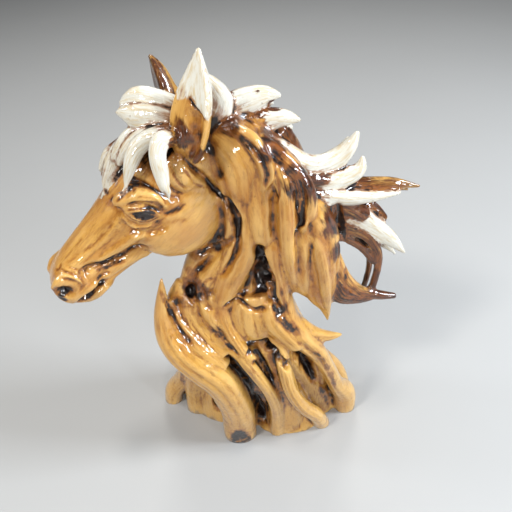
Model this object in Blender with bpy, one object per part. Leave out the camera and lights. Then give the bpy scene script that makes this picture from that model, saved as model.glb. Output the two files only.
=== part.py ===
"""Horse head statuette: a head with a blown mane rising from a stump of driftwood roots, cast in one piece.

The file is in metres with +Z up. The face looks towards -X and a little towards -Y, the mane blows
towards +X, and the flat underside stands on z = 0. The forms are drawn in millimetres at DRAWN_HEIGHT
and scaled to HEIGHT. Head forms are drawn in the head's own frame: along the face from the poll, up from
the face's axis, and sideways, where minus is the side nearer to -Y.
"""

import math

import bmesh
import bpy
import numpy as np
from mathutils import Vector, noise
from mathutils.bvhtree import BVHTree

HEIGHT = 0.310
DRAWN_HEIGHT = 310.0
POLL = (-20.0, 0.0, 262.0)
HEAD_TURN = 22.0
HEAD_DROP = 40.0

NODE = "horse_head_statuette"
VOXEL = 1.5
TRIANGLES = 9400
CURVE_STEPS = 6
STROKE_STEP = 0.8
LOCK_SIDES = 14
LEAST_HALF = 1.2
NEAR_FACE = (0.0, -1.0, 0.0)
FAR_FACE = (0.0, 1.0, 0.0)
CUPS = {"ear": 0.7, "mane": 0.12, "forelock": 0.05}
FAR_OUT = 150.0
FACING = -0.1
END_TAPER = 0.2
SWELL = 0.55
SWELL_LENGTH = 9.0
UNIT = HEIGHT / DRAWN_HEIGHT

# Head sections in mm: along, top, bottom, widest level, half width, upper power, lower power
HEAD_RINGS = [
    (-16, -4, -30, -14, 11, 2.0, 2.0),
    (-6, 4, -42, -12, 15, 2.0, 2.0),
    (6, 9, -48, -9, 18, 2.2, 2.2),
    (20, 12.5, -48, -6, 20, 2.3, 2.4),
    (34, 13.5, -47, -4, 20.5, 2.4, 2.6),
    (46, 13.0, -42, -3, 20, 2.6, 2.6),
    (56, 12.0, -33, -3, 17.5, 2.6, 2.6),
    (68, 11.5, -32, -3, 14.5, 2.5, 2.2),
    (80, 11.5, -28, -3, 12.5, 2.4, 2.1),
    (92, 11.0, -25, -3, 12, 2.4, 2.1),
    (102, 10.0, -22, -3, 13, 2.4, 2.3),
    (110, 7.5, -19, -4, 13.5, 2.4, 2.4),
    (116.5, 3.5, -16, -5, 11, 2.3, 2.3),
    (120, -2.0, -11, -6, 6, 2.0, 2.0),
]

# Bulges on each side of the head in mm: along, up, sideways, and the three radii
HEAD_BULGES = [
    (39, -23, 14.5, 26, 24.5, 8.5),
    (46, 0.5, 16.5, 6, 6.5, 5.5),
    (20, -2, 15, 13, 11, 7.5),
    (108, 0, 9, 8.5, 8, 5),
    (70, -9, 9, 22, 5, 5),
]

# Ridges on each side of the head in mm: rows of along, up, sideways and half width
HEAD_RIDGES = {
    "brow": [
        (51, 12, 13, 3),
        (45, 11.5, 16, 4),
        (39, 7.5, 18.5, 4.5),
        (35.5, 0, 19.5, 4.5),
        (36.5, -7, 20, 3),
    ],
    "upper_lid": [
        (50, 9, 18, 1.4),
        (46.5, 7, 20, 2),
        (43.5, 2.5, 21.2, 2.4),
        (42, -3, 21.2, 2.2),
        (40.5, -7, 20, 1.4),
    ],
    "lower_lid": [
        (50.5, 8, 18.5, 1.3),
        (49.8, 3.5, 20.3, 1.8),
        (48, -2.5, 20.6, 1.8),
        (44, -6.5, 20.4, 1.4),
    ],
    "eye_bag": [
        (54, 7, 17, 1.5),
        (54, 0, 18, 2.6),
        (51, -6.5, 19, 2.8),
        (46, -10.5, 19.5, 2.4),
        (41, -10, 19.5, 1.4),
    ],
    "cheek_bone": [(54, -8, 18, 3), (66, -6.5, 14.5, 3), (80, -4, 11.5, 2.5), (90, -2, 10, 2)],
    "nostril_rim": [
        (114, 5, 8, 1.6),
        (107, 6.8, 9.5, 2),
        (101, 4.5, 11, 2.2),
        (99.5, -1, 12, 2.4),
        (102, -6, 12, 2),
    ],
    "upper_lip": [(117, -8, 7, 2.4), (110, -9, 10, 3), (103, -9.5, 11, 3), (97, -11.5, 10.5, 2.4)],
    "lower_lip": [(114, -17.5, 5, 2.4), (106, -18.5, 7.5, 3), (98, -19.5, 7.5, 2.6)],
    "jaw_bar": [(94, -13, 9.5, 3), (84, -14.5, 9, 4), (74, -18, 9, 4.5), (66, -23, 9.5, 4)],
}

# Bulges on the head's middle plane in mm: along, up, and the three radii
MIDDLE_BULGES = [
    (101, -20.5, 10, 5.5, 8),
    (112, -14.5, 7, 5, 9),
    (104, -16, 12, 5, 10.5),
]

# Every lock is a row of points in mm: x, y, z, half width, half thickness
EARS = {
    "near": [
        (-20, -22, 258, 7, 7),
        (-19, -25, 268, 9.5, 7),
        (-16, -25, 280, 10.5, 6),
        (-12, -23, 294, 8, 4.5),
        (-9, -20, 310, 0.8, 0.8),
    ],
    "far": [
        (-29, 12, 256, 7, 7),
        (-31, 15, 265, 8.5, 6.5),
        (-34, 18, 275, 7.5, 5),
        (-36, 20, 285, 5.5, 3.5),
        (-38, 20, 294, 0.8, 0.8),
    ],
}

EAR_FACES = {"near": (-0.55, -0.83, 0.0), "far": (-0.9, -0.4, 0.0)}

FORELOCK = {
    "upper": [
        (-22, -4, 274, 6, 5),
        (-33, -8, 281, 6.5, 4),
        (-42, -8, 283.5, 5.5, 4),
        (-51, -8, 281, 1, 1),
    ],
    "lower": [
        (-22, -8, 268, 6, 5),
        (-33, -12, 274.5, 6.5, 4),
        (-44, -12, 276.5, 6, 4),
        (-53, -10, 278, 1, 1),
    ],
    "outer": [
        (-25, -10, 265, 5, 5),
        (-37, -12, 268.5, 5, 4),
        (-46, -13, 267, 4.5, 3.5),
        (-53, -14, 261.5, 3.5, 3),
        (-60, -14, 253, 1, 1),
    ],
    "outer_two": [
        (-27, -14, 266, 4, 4),
        (-37, -17, 268, 4.5, 3.5),
        (-44, -18, 265.5, 4.5, 3.5),
        (-50, -18, 260, 3.5, 3),
        (-56, -17, 252, 1, 1),
    ],
    "middle": [
        (-26, -17, 269, 4, 4),
        (-36, -22, 269.5, 4.5, 4),
        (-43, -25, 265.5, 4.5, 4),
        (-47.5, -27, 257.5, 3.6, 3),
        (-52, -28, 246, 1, 1),
    ],
    "near": [
        (-24, -24, 270, 4, 4),
        (-30, -30, 271.5, 4.5, 4.5),
        (-32, -34, 266.5, 4.2, 3.8),
        (-31.5, -36, 258.5, 4, 3.2),
        (-30.5, -38, 251, 2.8, 2.4),
        (-28.5, -40, 243, 1, 1),
    ],
    "far": [
        (-40, -8, 264, 4.5, 4),
        (-48, -10, 262.5, 5, 4),
        (-56, -11, 256, 5, 4),
        (-62, -13, 247, 4, 3),
        (-66, -14, 238, 2.5, 2),
        (-69, -15, 229, 1, 1),
    ],
    "tiny": [
        (-46, -4, 263, 4, 4),
        (-55, -6, 258, 4, 3.5),
        (-62, -5, 253.5, 3.5, 3),
        (-66, -5, 249, 2.5, 2.5),
        (-70, -6, 243, 1, 1),
    ],
    "away": [(-26, 8, 270, 6, 5), (-40, 10, 266, 6, 4), (-50, 12, 256, 4, 3), (-55, 13, 246, 1, 1)],
}

MANE = {
    "poll_fan": [
        (-12, -6, 262, 9, 8),
        (-7, -8, 272, 9, 7),
        (-3, -10, 281, 7, 5.5),
        (-5, -13, 289, 4.5, 4),
        (-8, -16, 296, 1.5, 1.5),
    ],
    "first": [
        (-10, -3, 263, 8, 8),
        (0, -3, 272, 7.5, 6),
        (11, -2, 276, 7.5, 5),
        (20, -1, 278, 5, 4),
        (28, 0, 277, 1, 1),
    ],
    "second": [(2, -3, 260, 8, 7), (15, -3, 265, 7, 5), (28, -2, 266, 5, 4), (38, 0, 263, 1, 1)],
    "long": [
        (2, -5, 264, 8, 8),
        (14, -9, 259, 7, 6.5),
        (28, -10, 250.5, 6, 5),
        (39, -9, 243, 5.5, 5),
        (49, -6, 240, 6, 4.5),
        (58, -4, 243, 6, 4),
        (64, -3, 249.5, 4, 3.5),
        (67.5, -2, 257, 1, 1),
    ],
    "under": [
        (20, -9, 247, 8, 7),
        (36, -10, 236, 7, 6),
        (50, -8, 231, 6, 5),
        (61, -6, 231, 6, 4),
        (69, -5, 235, 4.5, 3),
        (71, -4, 243, 1, 1),
    ],
    "streamer": [
        (24, -3, 238, 10, 7),
        (40, -3, 229, 8, 6),
        (56, -2, 223, 6, 5),
        (73, -1, 222, 5, 4),
        (90, -1, 222, 3.5, 3.5),
        (107, 0, 218, 1, 1),
    ],
    "streamer_low": [
        (30, -9, 231, 8, 6),
        (44, -10, 224, 6, 5),
        (60, -8, 219.5, 5, 4),
        (76, -6, 217, 4, 3),
        (95, -4, 217, 1, 1),
    ],
    "blade": [
        (32, -4, 218, 11, 8),
        (50, -4, 212, 9, 6),
        (66, -4, 206, 8, 5),
        (80, -3, 194, 7, 4),
        (93, -3, 183, 5, 3.5),
        (105, -2, 169, 1, 1),
    ],
    "spur": [(50, 2, 213, 8, 6), (66, 2, 211, 5, 4), (80, 1, 205, 4, 3), (90, 0, 196, 2, 2)],
    "curl": [
        (36, -4, 206, 10, 8),
        (50, -4, 202, 7, 6),
        (64, -4, 196, 5, 4.5),
        (77, -4, 188, 3.5, 3.5),
        (86, -4, 175, 3, 3),
        (88, -4, 160, 2.6, 2.6),
        (86, -5, 143, 2.6, 2.6),
    ],
    "curl_inner": [
        (40, -8, 200, 9, 7),
        (53, -7, 193, 4, 4),
        (65, -6, 187, 2.6, 2.6),
        (76, -5, 178, 2.4, 2.4),
        (85, -4, 165, 2.4, 2.4),
    ],
    "loop": [
        (38, -6, 205, 10, 8),
        (50, -7, 192, 6, 6),
        (57, -9, 177, 5.5, 5),
        (65, -10, 159, 5, 4.5),
        (76, -9, 145, 4.5, 4),
        (90, -7, 138, 3.5, 3.5),
        (103, -6, 135, 2, 2),
    ],
    "scoop": [
        (54, -9, 170, 4, 4),
        (58, -11, 157, 6, 5),
        (64, -12, 146, 7, 5),
        (75, -10, 140, 5, 4),
        (86, -8, 138, 3, 3),
    ],
}

NECK = {
    "lobe": [
        (28, -10, 226, 10, 10),
        (40, -14, 212, 13, 10),
        (46, -15, 194, 14, 9),
        (47, -15, 172, 14, 8),
        (50, -14, 150, 9, 6),
        (54, -13, 136, 4, 3.5),
        (57, -12, 121, 0.8, 0.8),
    ],
    "lobe_inner": [
        (28, -16, 215, 8, 8),
        (34, -19, 198, 9, 7),
        (36, -19, 178, 9, 6),
        (39, -17, 160, 6, 4),
        (42, -15, 149, 1.5, 1.5),
    ],
    "lobe_ridge": [
        (40, -20, 210, 4, 4),
        (46, -22, 196, 4, 4),
        (50, -22, 176, 4, 4),
        (53, -19, 154, 3.5, 3),
        (57, -14, 128, 1, 1),
    ],
    "ridge": [
        (20, -14, 257, 4, 4),
        (23, -18, 250, 5, 5.5),
        (26, -21, 240, 5, 5.5),
        (28, -22, 228, 5, 5.5),
        (28.5, -23, 209, 5, 6),
        (29.5, -22, 192, 5, 6),
        (32, -20, 172, 4, 4.5),
        (34, -17, 156, 1.5, 1.5),
    ],
    "hump": [
        (-4, -8, 266, 9, 7),
        (3, -13, 260, 12, 8),
        (8, -16, 249, 13, 8),
        (9, -16, 232, 12, 8),
        (9, -14, 214, 9, 6),
    ],
    "crest_strand": [
        (4, -16, 269, 3, 3),
        (11, -21, 265.5, 4, 4),
        (16, -24, 258, 4, 4),
        (18.5, -25, 248, 3.5, 3.5),
        (17, -25, 238, 1, 1),
    ],
    "curled": [
        (14, -14, 260, 6, 5),
        (26, -18, 252, 5, 5),
        (36, -20, 240, 5, 5),
        (40, -21, 227, 5, 4.5),
        (38, -22, 215, 4, 4),
        (33, -23, 204, 1, 1),
    ],
    "crest_back": [
        (4, 0, 258, 12, 10),
        (18, 0, 246, 12, 10),
        (31, 0, 229, 12, 9),
        (40, 0, 210, 11, 9),
        (45, -2, 192, 10, 9),
    ],
    "throat_strap": [
        (-4, -15, 242, 4, 4),
        (-1, -17, 230, 4.5, 4),
        (0, -18, 217, 5, 4),
        (-2, -18, 202, 5, 4),
        (-7, -18, 190, 4, 3),
        (-14, -18, 180, 1.5, 1.5),
    ],
    "throat_fan": [
        (-12, -8, 205, 7, 7),
        (-20, -10, 190, 8, 7),
        (-28, -12, 174, 7, 6),
        (-34, -14, 162, 5, 4),
    ],
    "throat_fan_near": [
        (-6, -13, 200, 6, 6),
        (-12, -15, 186, 6, 6),
        (-20, -18, 172, 6, 5),
        (-25, -20, 160, 3, 3),
    ],
    "front_sweep": [
        (4, -8, 252, 4, 4),
        (5, -15, 236, 9, 7),
        (6, -17, 216, 10, 7),
        (3, -18, 194, 10, 7),
        (-6, -19, 172, 9, 6),
        (-13, -20, 152, 6, 5),
        (-17, -23, 138, 4, 4),
    ],
    "shoulder": [
        (10, -8, 262, 4, 4),
        (11, -15, 248, 9, 8),
        (14, -17, 230, 11, 8),
        (15, -18, 212, 10, 8),
        (15, -17, 196, 7, 6),
        (16, -14, 182, 2, 2),
    ],
    "trunk_right": [
        (20, -12, 212, 4, 4),
        (20, -18, 198, 7, 7),
        (21, -20, 184, 6, 6),
        (24, -20, 166, 5, 5),
        (26, -19, 148, 5, 5),
        (26, -18, 130, 6, 6),
    ],
}

ROOTS = {
    "horn": [
        (-46, -21, 178, 0.8, 0.8),
        (-48, -23, 164, 3.4, 3),
        (-50, -25, 148, 5.5, 5),
        (-48, -27, 131, 8.5, 8),
        (-41, -29, 117, 11, 10),
        (-30, -31, 104, 12.5, 11),
        (-20, -31, 88, 12.5, 11),
        (-14, -28, 66, 12.5, 11.5),
        (-10, -24, 38, 13, 11.5),
        (-10, -21, 14, 13.5, 11.5),
        (-10, -20, -8, 13.5, 11.5),
    ],
    "horn_inner": [
        (-45, -21, 158, 2, 2),
        (-42, -24, 141, 5, 5),
        (-34, -27, 126, 7, 7),
        (-24, -29, 114, 7, 7),
        (-15, -29, 102, 6, 6),
    ],
    "left_foot": [
        (-26, -4, 94, 14, 13),
        (-39, 0, 74, 10, 10),
        (-47, 5, 54, 8, 8),
        (-55, 10, 34, 7.5, 7.5),
        (-65, 14, 14, 8, 8),
        (-69, 16, -8, 7.5, 7.5),
    ],
    "left_wall": [
        (-22, -10, 98, 12, 10),
        (-34, -3, 64, 12, 9),
        (-41, 3, 30, 12, 8),
        (-42, 5, -8, 14, 8),
    ],
    "saddle": [(-46, -17, 146, 4, 4), (-41, -15, 155, 6, 5), (-34, -13, 164, 7, 6)],
    "fan": [(-34, -16, 158, 7, 6), (-32, -20, 142, 7, 6), (-24, -24, 126, 7, 6), (-14, -27, 112, 6, 6)],
    "column_left": [
        (-22, -19, 160, 6, 6),
        (-19, -22, 142, 6, 6),
        (-12, -26, 124, 5, 5),
        (-2, -30, 108, 4, 4),
    ],
    "column": [
        (-14, -20, 152, 5, 5),
        (-11, -23, 136, 5, 5),
        (-4, -28, 120, 4.5, 4.5),
        (5, -31, 104, 4, 4),
    ],
    "plate": [
        (6, -18, 158, 10, 7),
        (6, -20, 146, 14, 7),
        (7, -22, 134, 15, 6),
        (8, -23, 126, 13, 4.5),
        (9, -24, 121, 8, 2.5),
    ],
    "plate_right": [
        (16, -19, 152, 8, 7),
        (19, -22, 138, 9, 7),
        (26, -24, 126, 8, 6),
        (36, -25, 112, 6, 5),
    ],
    "right_root": [
        (22, -14, 166, 7, 7),
        (26, -17, 150, 7, 7),
        (29, -19, 134, 7.5, 7.5),
        (38, -21, 116, 8, 8),
        (50, -20, 97, 6.5, 6.5),
        (59, -16, 72, 6, 6),
        (67, -11, 46, 6.5, 6.5),
        (76, -3, 22, 9.5, 9),
        (79, 1, -8, 9, 10),
    ],
    "spike": [
        (33, -18, 128, 7, 6),
        (43, -18, 117, 6.5, 5.5),
        (52, -16, 110.5, 5, 4),
        (60, -14, 107, 3.5, 3),
        (68, -12, 105.5, 1, 1),
    ],
    "middle_root": [
        (20, -22, 122, 5, 5),
        (24, -27, 108, 5, 5),
        (26, -30, 92, 5, 5),
        (30, -31, 70, 5, 5),
        (39, -29, 46, 5.5, 5.5),
        (51, -23, 22, 6, 6),
        (59, -14, -8, 6.5, 6.5),
    ],
    "bar": [
        (-10, -24, 124, 4, 4),
        (-2, -30, 109, 4.5, 4.5),
        (6, -32, 93, 4.5, 4.5),
        (13, -31, 74, 4.5, 4.5),
        (18, -28, 52, 5, 5),
        (20, -24, 26, 5.5, 5.5),
        (20, -20, -8, 6.5, 6.5),
    ],
    "cave_wall": [
        (8, -11, 134, 11, 7),
        (12, -15, 114, 12, 6),
        (17, -20, 92, 13, 6),
        (22, -22, 68, 13, 6),
        (26, -20, 40, 13, 7),
        (28, -17, -8, 15, 8),
    ],
    "skirt": [
        (20, -10, 66, 10, 8),
        (27, -12, 42, 14, 8),
        (29, -13, 18, 20, 9),
        (29, -15, -8, 25, 12),
    ],
    "right_wall": [(24, 0, 118, 12, 10), (36, 2, 92, 12, 9), (48, 3, 60, 12, 8), (56, 3, -8, 14, 8)],
    "back_left": [
        (-18, 6, 138, 3, 3),
        (-24, 12, 116, 10, 9),
        (-36, 18, 84, 11, 10),
        (-44, 23, 44, 9, 9),
        (-56, 26, 14, 9, 9),
        (-60, 28, -8, 9, 9),
    ],
    "back_heel": [
        (-11, 8, 148, 3, 3),
        (-13, 17, 124, 9, 8),
        (-18, 24, 88, 9, 9),
        (-22, 30, 48, 8, 8),
        (-24, 36, 14, 9, 8),
        (-25, 38, -8, 10, 9),
    ],
    "back_middle": [
        (5, 10, 162, 3, 3),
        (7, 18, 134, 9, 8),
        (10, 24, 98, 10, 9),
        (10, 30, 56, 9, 8),
        (16, 35, 18, 9, 9),
        (18, 37, -8, 10, 9),
    ],
    "back_right": [
        (20, 6, 144, 3, 3),
        (25, 13, 118, 10, 9),
        (36, 17, 88, 9, 9),
        (52, 21, 50, 8, 8),
        (72, 23, 18, 8.5, 8.5),
        (80, 22, -8, 8.5, 8.5),
    ],
}

# The far side of the neck, plainer than the near side
NECK_BACK = {
    "sweep_one": [
        (2, 8, 264, 3, 3),
        (-1, 16, 246, 8, 7),
        (2, 22, 218, 10, 8),
        (-4, 22, 186, 9, 8),
        (-14, 20, 154, 8, 8),
        (-19, 17, 130, 5, 5),
        (-21, 13, 112, 2, 2),
    ],
    "sweep_two": [
        (16, 8, 264, 3, 3),
        (17, 16, 248, 8, 7),
        (21, 21, 222, 10, 8),
        (17, 23, 190, 9, 8),
        (10, 22, 158, 8, 8),
        (5, 19, 132, 5, 5),
        (3, 15, 112, 2, 2),
    ],
    "sweep_three": [
        (27, 4, 258, 3, 3),
        (30, 10, 244, 8, 7),
        (37, 14, 218, 10, 8),
        (41, 13, 194, 9, 7),
        (43, 8, 172, 7, 6),
        (50, 0, 148, 2, 2),
    ],
    "sweep_four": [
        (26, 8, 218, 3, 3),
        (26, 16, 198, 6, 6),
        (27, 18, 178, 7, 7),
        (24, 18, 154, 7, 7),
        (24, 15, 132, 5, 5),
        (24, 11, 112, 2, 2),
    ],
}

# The mane's locks that are repeated on its far side, and how far back, down and thinner they lie
FAR_LOCKS = ("first", "second", "long", "streamer", "blade", "curl", "scoop")
FAR_SHIFT = (-3.0, 9.0, -8.0)
FAR_SLIM = 0.85

# Level sections of the neck and stump in mm: z, centre x, centre y, half x, half y
TRUNK = [
    (264, -10, 0, 12, 11),
    (254, -2, 0, 22, 15),
    (240, 7, 0, 29, 18),
    (222, 12, 0, 31, 19),
    (204, 12, 0, 31, 20),
    (186, 7, 0, 30, 20),
    (168, -4, 0, 28, 20),
    (150, -10, 0, 28, 20),
    (132, -10, 0, 32, 21),
    (110, -6, 2, 36, 24),
    (84, -2, 4, 39, 23),
    (54, 5, 6, 45, 23),
    (24, 12, 8, 56, 24),
    (-8, 14, 9, 62, 25),
]


# Cuts on both sides of the face: points along and up in mm, half width, depth
HEAD_CUTS = [
    ([(47, 9), (44, 8.5), (41, 4.5), (39.5, -2), (38.5, -8)], 2.6, 2.2),
    ([(53, 3), (52, -3), (48, -7.5), (43, -8.5)], 2.4, 1.4),
    ([(57, 6), (57, -1), (54, -8), (48, -13), (42, -12)], 3.5, 1.8),
    ([(48, 14), (40, 13.5), (33, 8), (31, 0), (33, -8)], 3.0, 2.0),
    ([(112.5, 2.5), (110, 0)], 6.8, 6.5),
    ([(117, -2), (116, -4)], 3.0, 1.6),
    ([(116, -12), (108, -13.2), (99, -14.8), (95, -14.5)], 3.8, 5.4),
    ([(100, -6), (93, -1), (85, -6), (76, -10), (69, -13), (61, -18)], 3.4, 2.6),
    ([(97, -17), (88, -19), (77, -23), (68, -27)], 3.0, 2.0),
    ([(29, 8), (27, 0), (28, -8), (32, -13)], 3.0, 1.4),
    ([(10, 8), (12, -6), (13, -16), (15, -24), (16, -31), (19, -40), (25, -47)], 2.8, 3.4),
    ([(61, -42), (52, -49), (40, -51), (28, -48), (19, -38)], 3.6, 2.6),
]

# Cuts on the near side: x, z points in mm, half width, depth
NEAR_CUTS = [
    ([(-20, 262), (-16, 268), (-14, 276), (-13, 286)], 5.5, 4.5),
    ([(-5, 237), (-1, 224), (1, 213), (0, 200), (-5, 187), (-12, 176)], 3.6, 3.6),
    ([(-8, 198), (-18, 186), (-26, 176)], 4.0, 2.5),
    ([(-31, 165), (-29, 158)], 6, 6.0),
    ([(-24, 170), (-22, 158), (-18, 150)], 3.5, 3.0),
    ([(13, 200), (12, 188)], 3.5, 5.0),
    ([(13, 192), (14, 174), (12, 160)], 6.5, 7.5),
    ([(13, 196), (8, 176), (2, 158)], 2.6, 3.0),
    ([(13, 196), (18, 178), (20, 160)], 3.0, 3.5),
    ([(17, 176), (20, 158), (24, 144)], 4, 4.0),
    ([(-12, 152), (-2, 157), (8, 150), (17, 152)], 2.6, 3.0),
    ([(34, 246), (37, 232), (36, 218), (32, 206)], 3.0, 2.4),
    ([(8, 268), (14, 260), (18, 250), (17, 238)], 3.0, 2.6),
    ([(22, 240), (21, 220), (21, 205)], 3.0, 2.2),
    ([(35, 222), (34.5, 205), (35.5, 186), (38, 168)], 4.0, 2.4),
    ([(40, 226), (42, 204), (42, 180), (46, 154)], 3.0, 1.6),
    ([(58, 218), (60, 196), (60, 176), (60, 160)], 3.2, 3.0),
    ([(0, 114), (7, 117), (15, 116), (22, 110)], 4.2, 4.0),
    ([(14, 112), (20, 108), (27, 102), (32, 96)], 5.0, 7.0),
    ([(37, 98), (38, 84), (42, 68), (48, 52), (51, 44)], 6.2, 7.5),
    ([(-9, 104), (-3, 89), (5, 71), (11, 56), (14, 44)], 3.4, 5.5),
    ([(4, 110), (9, 100), (14, 88), (18, 76)], 2.8, 4.0),
    ([(3, 44), (7, 27), (10, 6)], 4.2, 6.0),
    ([(-46, 164), (-44, 152), (-40, 139), (-32, 126)], 3.0, 2.8),
    ([(-18, 140), (-12, 126), (-4, 112)], 3.0, 2.6),
    ([(-27, 74), (-28, 52), (-28, 30), (-26, 14)], 5.0, 6.0),
    ([(-24, 142), (-17, 130), (-9, 116)], 3.0, 2.0),
    ([(36, 122), (48, 100), (56, 80)], 3.0, 2.2),
]

# Cuts on the far side: x, z points in mm, half width, depth
FAR_CUTS = [
    ([(7, 246), (11, 216), (6, 180), (-6, 148), (-12, 126)], 4.0, 4.0),
    ([(27, 244), (31, 216), (30, 186), (20, 156), (16, 134)], 4.0, 4.0),
    ([(-12, 110), (-26, 80), (-32, 50), (-38, 20)], 5.0, 5.0),
    ([(-2, 112), (-6, 80), (-6, 50), (-4, 20)], 5.0, 5.0),
    ([(18, 112), (24, 84), (30, 54), (44, 20)], 5.0, 5.0),
]


def smooth_rows(rows, steps=CURVE_STEPS):
    """A Catmull-Rom curve through rows of numbers."""
    rows = np.array(rows, float)
    padded = np.vstack([2 * rows[0] - rows[1], rows, 2 * rows[-1] - rows[-2]])
    t = (np.arange(steps) / steps)[:, None]
    pieces = []
    for before, a, b, after in zip(padded, padded[1:], padded[2:], padded[3:]):
        square = 2 * before - 5 * a + 4 * b - after
        cube = 3 * a - before - 3 * b + after
        pieces.append(0.5 * (2 * a + (b - before) * t + square * t**2 + cube * t**3))
    return np.vstack(pieces + [rows[-1:]])


def even_path(points):
    """A smooth path through points, with a point every STROKE_STEP."""
    path = smooth_rows(points)
    reach = np.concatenate([[0], np.linalg.norm(np.diff(path, axis=0), axis=1).cumsum()])
    places = np.linspace(0, reach[-1], max(2, round(reach[-1] / STROKE_STEP) + 1))
    return np.column_stack([np.interp(places, reach, column) for column in path.T])


def oval(sides, power):
    """Corners of a superellipse of radius 1 as two columns."""
    angles = np.linspace(0, 2 * math.pi, sides, endpoint=False)
    c, s = np.cos(angles), np.sin(angles)
    return np.sign(c) * np.abs(c) ** (2 / power), np.sign(s) * np.abs(s) ** (2 / power)


def lock_frames(rows, face):
    """The lock's smooth rows, with its sideways and outward directions at each."""
    path = smooth_rows(rows)
    along = np.gradient(path[:, :3], axis=0)
    along /= np.linalg.norm(along, axis=1, keepdims=True)
    out = np.array(face) - along * (along @ np.array(face))[:, None]
    out /= np.linalg.norm(out, axis=1, keepdims=True)
    return path, np.cross(along, out), out


def every_lock():
    """Each lock as its group, its name, its rows and the way its broad side looks."""
    for name, rows in EARS.items():
        yield "ear", name, rows, EAR_FACES[name]
    tables = {"forelock": FORELOCK, "mane": MANE, "neck": NECK, "root": ROOTS}
    for group, table in tables.items():
        for name, rows in table.items():
            yield group, name, rows, NEAR_FACE
    for name, rows in NECK_BACK.items():
        yield "back", name, rows, FAR_FACE
    for name in FAR_LOCKS:
        rows = [(*np.add(row[:3], FAR_SHIFT), row[3] * FAR_SLIM, row[4] * FAR_SLIM) for row in MANE[name]]
        yield "far_mane", name, rows, FAR_FACE


def head_axes():
    """Rows: along the face, up through the forehead, and sideways to the far side."""
    turn, drop = math.radians(HEAD_TURN), math.radians(HEAD_DROP)
    ahead = np.array([-math.cos(turn), -math.sin(turn), 0.0])
    up = np.array([0.0, 0.0, 1.0])
    along = ahead * math.cos(drop) - up * math.sin(drop)
    dorsal = ahead * math.sin(drop) + up * math.cos(drop)
    return np.array([along, dorsal, np.cross(along, dorsal)])


def at_head(along, up, side):
    return np.array(POLL) + np.array([along, up, side]) @ head_axes()


class Clay:
    """Closed overlapping skins, gathered before they are fused into one body."""

    def __init__(self):
        self.points = []
        self.faces = []

    def skin(self, rings):
        """A closed skin through rings of equal size, each end closed to its own centre."""
        n, last = len(rings[0]), len(rings) - 1
        start = len(self.points)
        for ring in rings:
            self.points.extend(map(tuple, ring))
        self.points.append(tuple(np.mean(rings[0], 0)))
        self.points.append(tuple(np.mean(rings[-1], 0)))
        first, end = len(self.points) - 2, len(self.points) - 1
        for i in range(n):
            j = (i + 1) % n
            for r in range(last):
                a, b = start + r * n + i, start + r * n + j
                self.faces.append((a, b, b + n, a + n))
            self.faces.append((first, start + j, start + i))
            self.faces.append((end, start + last * n + i, start + last * n + j))

    def lock(self, rows, face, cup=0.0, power=2.2):
        """A lock, ridge or root whose broad side looks along face, hollowed by cup of its half thickness."""
        u, v = oval(LOCK_SIDES, power)
        v = v - cup * (1 - u**2)
        rings = []
        for row, wide, out in zip(*lock_frames(rows, face)):
            half, thick = np.maximum(row[3:5], LEAST_HALF)
            rings.append(row[:3] + np.outer(u * half, wide) + np.outer(v * thick, out))
        self.skin(rings)

    def trunk(self, rows, sides=28, power=2.4):
        u, v = oval(sides, power)
        self.skin([
            np.column_stack([x + u * half_x, y + v * half_y, np.full(sides, z)])
            for z, x, y, half_x, half_y in smooth_rows(rows, 4)
        ])

    def ball(self, centre, radii, axes, sides=16, rows=12):
        rings = []
        for k in range(1, rows):
            latitude = math.pi * k / rows
            longitude = np.linspace(0, 2 * math.pi, sides, endpoint=False)
            local = np.column_stack([
                radii[0] * math.sin(latitude) * np.cos(longitude),
                radii[1] * math.sin(latitude) * np.sin(longitude),
                np.full(sides, radii[2] * math.cos(latitude)),
            ])
            rings.append(centre + local @ axes)
        self.skin(rings)


def add_head(clay):
    axes = head_axes()
    up, side = oval(32, 2.0)
    rings = []
    for along, top, bottom, level, half, upper, lower in smooth_rows(HEAD_RINGS, 4):
        power = np.where(up > 0, upper, lower)
        reach = np.where(up > 0, top - level, level - bottom)
        height = level + np.sign(up) * np.abs(up) ** (2 / power) * reach
        width = np.sign(side) * np.abs(side) ** (2 / power) * half
        rings.append([at_head(along, h, w) for h, w in zip(height, width)])
    clay.skin(rings)
    for along, height, out, *radii in HEAD_BULGES:
        for sign in (-1, 1):
            clay.ball(at_head(along, height, sign * out), radii, axes)
    for along, height, *radii in MIDDLE_BULGES:
        clay.ball(at_head(along, height, 0), radii, axes)
    for rows in HEAD_RIDGES.values():
        for sign in (-1, 1):
            placed = [(*at_head(along, up, sign * out), half, half) for along, up, out, half in rows]
            clay.lock(placed, face=sign * axes[2])


def add_forms(clay):
    add_head(clay)
    clay.trunk(TRUNK)
    for group, _, rows, face in every_lock():
        clay.lock(rows, face, CUPS.get(group, 0))


def modify(obj, kind, **settings):
    modifier = obj.modifiers.new(kind.lower(), kind)
    for name, value in settings.items():
        setattr(modifier, name, value)


def bake(obj):
    """Applies the object's modifiers to its mesh."""
    graph = bpy.context.evaluated_depsgraph_get()
    mesh = bpy.data.meshes.new_from_object(obj.evaluated_get(graph))
    old = obj.data
    obj.modifiers.clear()
    obj.data = mesh
    bpy.data.meshes.remove(old)


def vertex_arrays(mesh):
    points = np.empty(len(mesh.vertices) * 3)
    normals = np.empty(len(mesh.vertices) * 3)
    mesh.vertices.foreach_get("co", points)
    mesh.vertices.foreach_get("normal", normals)
    return points.reshape(-1, 3), normals.reshape(-1, 3)


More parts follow.
